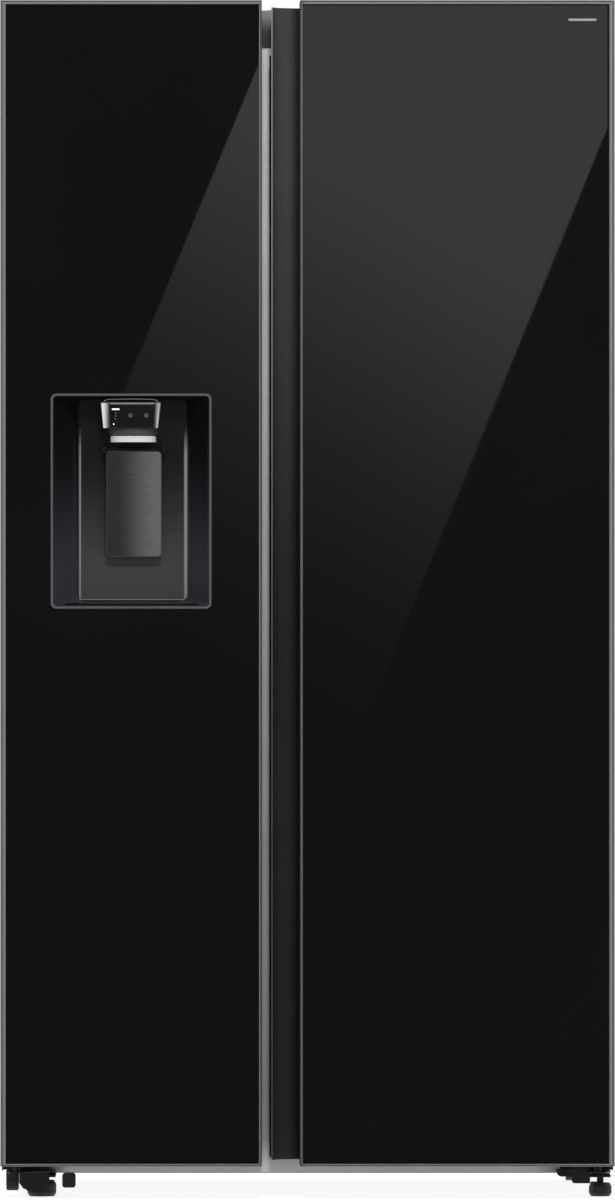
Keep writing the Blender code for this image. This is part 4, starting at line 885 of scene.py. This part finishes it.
def make_machine_cover():
    """A pressed sheet with louvres, a socket for a detachable lead and a recessed water inlet."""
    holes = []
    for left in LOUVRE_LEFTS:
        holes += vents(left, left + LOUVRE_WIDTH, *LOUVRE_Z, LOUVRE_ROWS, LOUVRE_SHARE)
    socket = rounded(*SOCKET, 0.0030, 3)
    water = circle((WATER_INLET[0], WATER_INLET[2]), WATER_HOLE_RADIUS, 24)
    pressed = prism(rectangle(*COVER_OUTLINE), *SHEET, "Y", holes=[*holes, socket, water])
    cover = piece("machine_cover_pressed", pressed, "galvanised_steel", CABINET, 0.0002)
    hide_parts("machine_cover")
    lips = []
    for left in LOUVRE_LEFTS:
        for row in range(LOUVRE_ROWS):
            z = LOUVRE_Z[0] + LOUVRE_PITCH * row + LIP_RISE
            lip = [(SHEET[1], z), (0.3579, z - 0.0012), (0.3579, z - 0.0028), (SHEET[1], z + 0.0014)]
            lips.append(prism(lip, left + 0.0020, left + LOUVRE_WIDTH - 0.0020, "X"))
    piece("machine_cover_louvres", merged(lips), "galvanised_steel", CABINET)
    case = prism(socket, 0.3380, 0.3578, "Y", holes=[rounded(0.2042, 0.1502, 0.2458, 0.1738, 0.0020, 3)])
    floor = prism(rounded(0.2035, 0.1495, 0.2465, 0.1745, 0.0020, 3), 0.3375, 0.3395, "Y")
    island = prism(rounded(0.2120, 0.1560, 0.2380, 0.1680, 0.0020, 3), 0.3390, 0.3560, "Y")
    piece("power_inlet", merged([case, floor, island]), "dark_plastic", CABINET, 0.0003)
    pins = [block((x - 0.0010, 0.3420, 0.1600), (x + 0.0010, 0.3565, 0.1640)) for x in SOCKET_PINS_X]
    piece("power_inlet_pins", merged(pins), "zinc_screw", CABINET, 0.0002)
    cup = turned(WATER_CUP, WATER_INLET, "Y", 32, ring=True)
    piece("water_inlet_cup", cup, "dark_plastic", CABINET, 0.0002)
    spout = [(0.0095, 0.3420)]
    for step in range(WATER_THREAD_TURNS):
        y = WATER_THREAD_START + WATER_THREAD_PITCH * step
        spout += [(0.0095, y), (0.0106, y + 0.0008), (0.0095, y + 0.0016)]
    spout += [(0.0090, 0.3555), (0.0055, 0.3555), (0.0055, 0.3440)]
    piece("water_inlet_thread", turned(spout, WATER_INLET, "Y", 32), "pale_plastic", CABINET)


def make_back():
    """The back sheet with its pressed beads, the screws round it and a blank plate."""
    sheet = prism(rectangle(*PANEL_OUTLINE), *SHEET, "Y")
    beads = []
    for x in BEADS_X:
        bead = rounded(x - BEAD_HALF, BEAD_Z[0], x + BEAD_HALF, BEAD_Z[1], BEAD_HALF - 0.0001, 5)
        beads.append(prism(bead, 0.3566, 0.3579, "Y"))
    panel = piece("back_panel_pressed", merged([sheet, *beads]), "galvanised_steel", CABINET, 0.0006)
    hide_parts("back_panel")
    screws = []
    for columns, heights in BACK_SCREWS:
        screws += [screw_shape((x, BACK_SCREW_Y, z), SCREW_RADIUS, "+Y") for x in columns for z in heights]
    piece("back_screws", merged(screws), "zinc_screw", CABINET)
    plate = prism(rounded(*RATING_PLATE, 0.0030, 4), 0.3571, 0.35745, "Y")
    piece("blank_rating_plate", plate, "pale_plastic", CABINET, 0.0001)


def make_top():
    """Caps over the top hinges, and the screws that hold the cover between them."""
    for side, sign in (("left", -1), ("right", 1)):
        eye = arc(HINGE, CAP_EYE, -190, -5, 14)
        plan = [(sign * u, v) for u, v in (*eye, *CAP_ARM)]
        cap = loft([[(u, v, z) for u, v in plan] for z in CAP_Z])
        piece(f"top_hinge_cap_{side}", cap, "dark_plastic", CABINET, 0.0020, segments=3)
        screw = screw_shape((sign * CAP_SCREW[0], CAP_SCREW[1], CAP_SCREW[2]), 0.0045, "+Z")
        piece(f"top_hinge_cap_screw_{side}", screw, "zinc_screw", CABINET)
    screws = [screw_shape((x, -0.1850, 1.7698), 0.0040, "+Z") for x in COVER_SCREWS_X]
    piece("hinge_cover_screws", merged(screws), "zinc_screw", CABINET)
    hatch = prism(rounded(*HATCH, 0.0050, 4), *HATCH_Z, "Z")
    piece("hinge_cover_hatch", hatch, "dark_plastic", CABINET, 0.0003)


def make_shelf_trims():
    """A moulded edge along the front and back of each glass shelf, and the ledges that carry it."""
    for side in ("fridge", "freezer"):
        for name in sorted(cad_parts):
            if not name.startswith(side) or look_of(name) != "shelf_glass":
                continue
            low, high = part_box(name)
            edge = prism([(low.y - 0.0012, low.z - 0.0008), (low.y + 0.0125, low.z - 0.0008),
                          (low.y + 0.0125, high.z + 0.0010), (low.y - 0.0012, high.z + 0.0022)],
                         low.x + 0.0004, high.x - 0.0004, "X")
            piece(f"{name}_front_edge", edge, "bare_steel", CABINET, 0.0010, segments=3)
            rear = block((low.x + 0.0004, high.y - 0.0120, high.z - 0.0060),
                         (high.x - 0.0004, high.y - 0.0004, high.z + 0.0012))
            ledges = [block((x0, low.y + 0.0200, low.z - 0.0020), (x1, high.y - 0.0010, high.z - 0.0055))
                      for x0, x1 in ((low.x - 0.0012, low.x + 0.0080), (high.x - 0.0080, high.x + 0.0012))]
            piece(f"{name}_rear_edge", rear, "pale_plastic", CABINET, 0.0008)
            piece(f"{name}_ledges", merged(ledges), "white_liner", CABINET, 0.0008)


def make_drawer_fronts():
    """A pull, a rim and floor ribs on each drawer."""
    for side in ("freezer", "fridge"):
        for level in ("upper", "lower"):
            name = f"{side}_drawer_{level}"
            low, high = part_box(name)
            middle = (low.x + high.x) / 2
            face = rounded(low.x + 0.0300, high.z - 0.0420, high.x - 0.0300, high.z - 0.0240, 0.0060, 4)
            bar = prism(face, low.y - 0.0030, low.y + 0.0018, "Y")
            face = rounded(low.x + 0.0140, high.z - 0.0140, high.x - 0.0140, high.z - 0.0010, 0.0030, 3)
            rim = prism(face, low.y - 0.0016, low.y + 0.0006, "Y")
            piece(f"{name}_pull", bar, "bare_steel", name, 0.0012, segments=3)
            piece(f"{name}_rim", rim, "pale_plastic", name, 0.0005)
            ribs = [
                block((middle + shift - 0.0010, low.y + 0.0100, low.z + 0.0024),
                      (middle + shift + 0.0010, high.y - 0.0100, low.z + 0.0040))
                for shift in DRAWER_RIBS
            ]
            piece(f"{name}_floor_ribs", merged(ribs), "clear_plastic", name, 0.0003)


def make_rack_rails():
    """A metal rail along the top edge of each door rack."""
    for name, door in RACKS.items():
        low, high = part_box(name)
        rail = prism(rounded(low.x + 0.0200, high.z - 0.0130, high.x - 0.0200, high.z - 0.0020, 0.0035, 4),
                     high.y - 0.0026, high.y + 0.0012, "Y")
        piece(f"{name}_rail", rail, "bare_steel", door, 0.0010, segments=3)


def make_lamps_and_guards():
    """Ceiling lamps, the guard before the evaporator's fan, the evaporator's fins and a control panel."""
    for name, (left, right) in SPACES.items():
        middle = (left + right) / 2
        rim = prism(rounded(middle - 0.0640, -0.0440, middle + 0.0640, 0.0140, 0.0140), 1.6870, 1.6899, "Z")
        lens = prism(rounded(middle - 0.0580, -0.0380, middle + 0.0580, 0.0080, 0.0110), 1.6825, 1.6875, "Z")
        piece(f"{name}_lamp_rim", rim, "bare_steel", CABINET, 0.0008)
        piece(f"{name}_lamp_lens", lens, "lamp_cover", CABINET, 0.0020, segments=4)
    front, back = GUARD_Y
    rings = []
    for radius in GUARD_RINGS:
        section = rectangle(radius - 0.0011, front, radius + 0.0011, back)
        rings.append(turned(section, GUARD_AT, "Y", 48, ring=True))
    for number in range(GUARD_SPOKES):
        spoke = block((-0.0520, 0.2550, -0.0010), (0.0520, 0.2566, 0.0010))
        turn = Matrix.Rotation(math.pi * number / GUARD_SPOKES, 4, "Y")
        spin = Matrix.Translation(GUARD_AT) @ turn
        bmesh.ops.transform(spoke, verts=spoke.verts[:], matrix=spin)
        rings.append(spoke)
    piece("evaporator_fan_guard", merged(rings), "white_liner", CABINET)
    fins = [block((-0.3900, 0.2700, 0.4360 + FIN_PITCH * row), (-0.1160, 0.3030, 0.4366 + FIN_PITCH * row))
            for row in range(FIN_COUNT)]
    piece("evaporator_fins", merged(fins), "aluminium", CABINET)
    control = prism(rounded(*CONTROL_PANEL, 0.0060, 4), 0.2944, 0.2962, "Y")
    piece("temperature_panel", control, "dark_plastic", CABINET, 0.0006)


def make_pipework():
    """Copper lines from the compressor, and the dark box that starts it."""
    tube("compressor_suction_pipe", SUCTION_PIPE, 0.0040, "copper", CABINET)
    tube("compressor_outlet_pipe", OUTLET_PIPE, 0.0030, "copper", CABINET)
    piece("compressor_starter", block(*STARTER), "dark_plastic", CABINET, 0.0030, segments=3)
    wires = []
    for row in range(WIRE_COUNT):
        shift = WIRE_PITCH * row
        wires.append(block((-0.3790 + shift, 0.2436, 0.0600), (-0.3776 + shift, 0.2450, 0.2740)))
    piece("condenser_wires", merged(wires), "black_steel", CABINET)
    shroud = turned(SHROUD, SHROUD_AT, "X", 48, ring=True)
    piece("condenser_fan_shroud", shroud, "dark_plastic", CABINET, 0.0006)


def make_gasket_bellows():
    """Fine ridges that run round each magnetic seal."""
    for side, door in (("freezer", FREEZER_DOOR), ("fridge", FRIDGE_DOOR)):
        low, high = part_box(f"{side}_door_gasket")
        for number, step in enumerate(RIDGE_STEPS):
            y = low.y + step
            outer = rectangle(low.x - RIDGE_GROW, low.z - RIDGE_GROW,
                              high.x + RIDGE_GROW, high.z + RIDGE_GROW)
            inner = rectangle(low.x + 0.0010, low.z + 0.0010, high.x - 0.0010, high.z - 0.0010)
            piece(f"{side}_gasket_ridge_{number}", prism(outer, y, y + RIDGE_SHEET, "Y", holes=[inner]),
                  "grey_rubber", door, 0.0003)


def dress_paddle():
    """The pivot barrel above the paddle's plate is dark."""
    paddle = NODES["dispenser_paddle"]
    paddle.data.materials.append(LOOKS["deep_black"])
    for face in paddle.data.polygons:
        top = max(paddle.data.vertices[v].co.z for v in face.vertices)
        if face.center.z > PADDLE_BARREL_LOW and top > PADDLE_BARREL_TOP:
            face.material_index = 1


def dress_cad():
    """Gives every carried-over node its look and rounds its edges."""
    for name in sorted(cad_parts):
        obj = NODES[name]
        look = LOOKS[look_of(name)]
        obj.data.materials.clear()
        obj.data.materials.append(look)
        soften(obj, BEVELS.get(name, 0.0004), 2)


make_room()
dress_cad()
make_dispenser()
dress_paddle()
make_door_trims()
make_underside()
make_roller_ribs()
make_stem_threads()
make_machine_cover()
make_back()
make_top()
make_shelf_trims()
make_drawer_fronts()
make_rack_rails()
make_lamps_and_guards()
make_pipework()
make_gasket_bellows()
for light_name, (place, toward, size, power) in LIGHTS.items():
    area(light_name, place, toward, size, power)
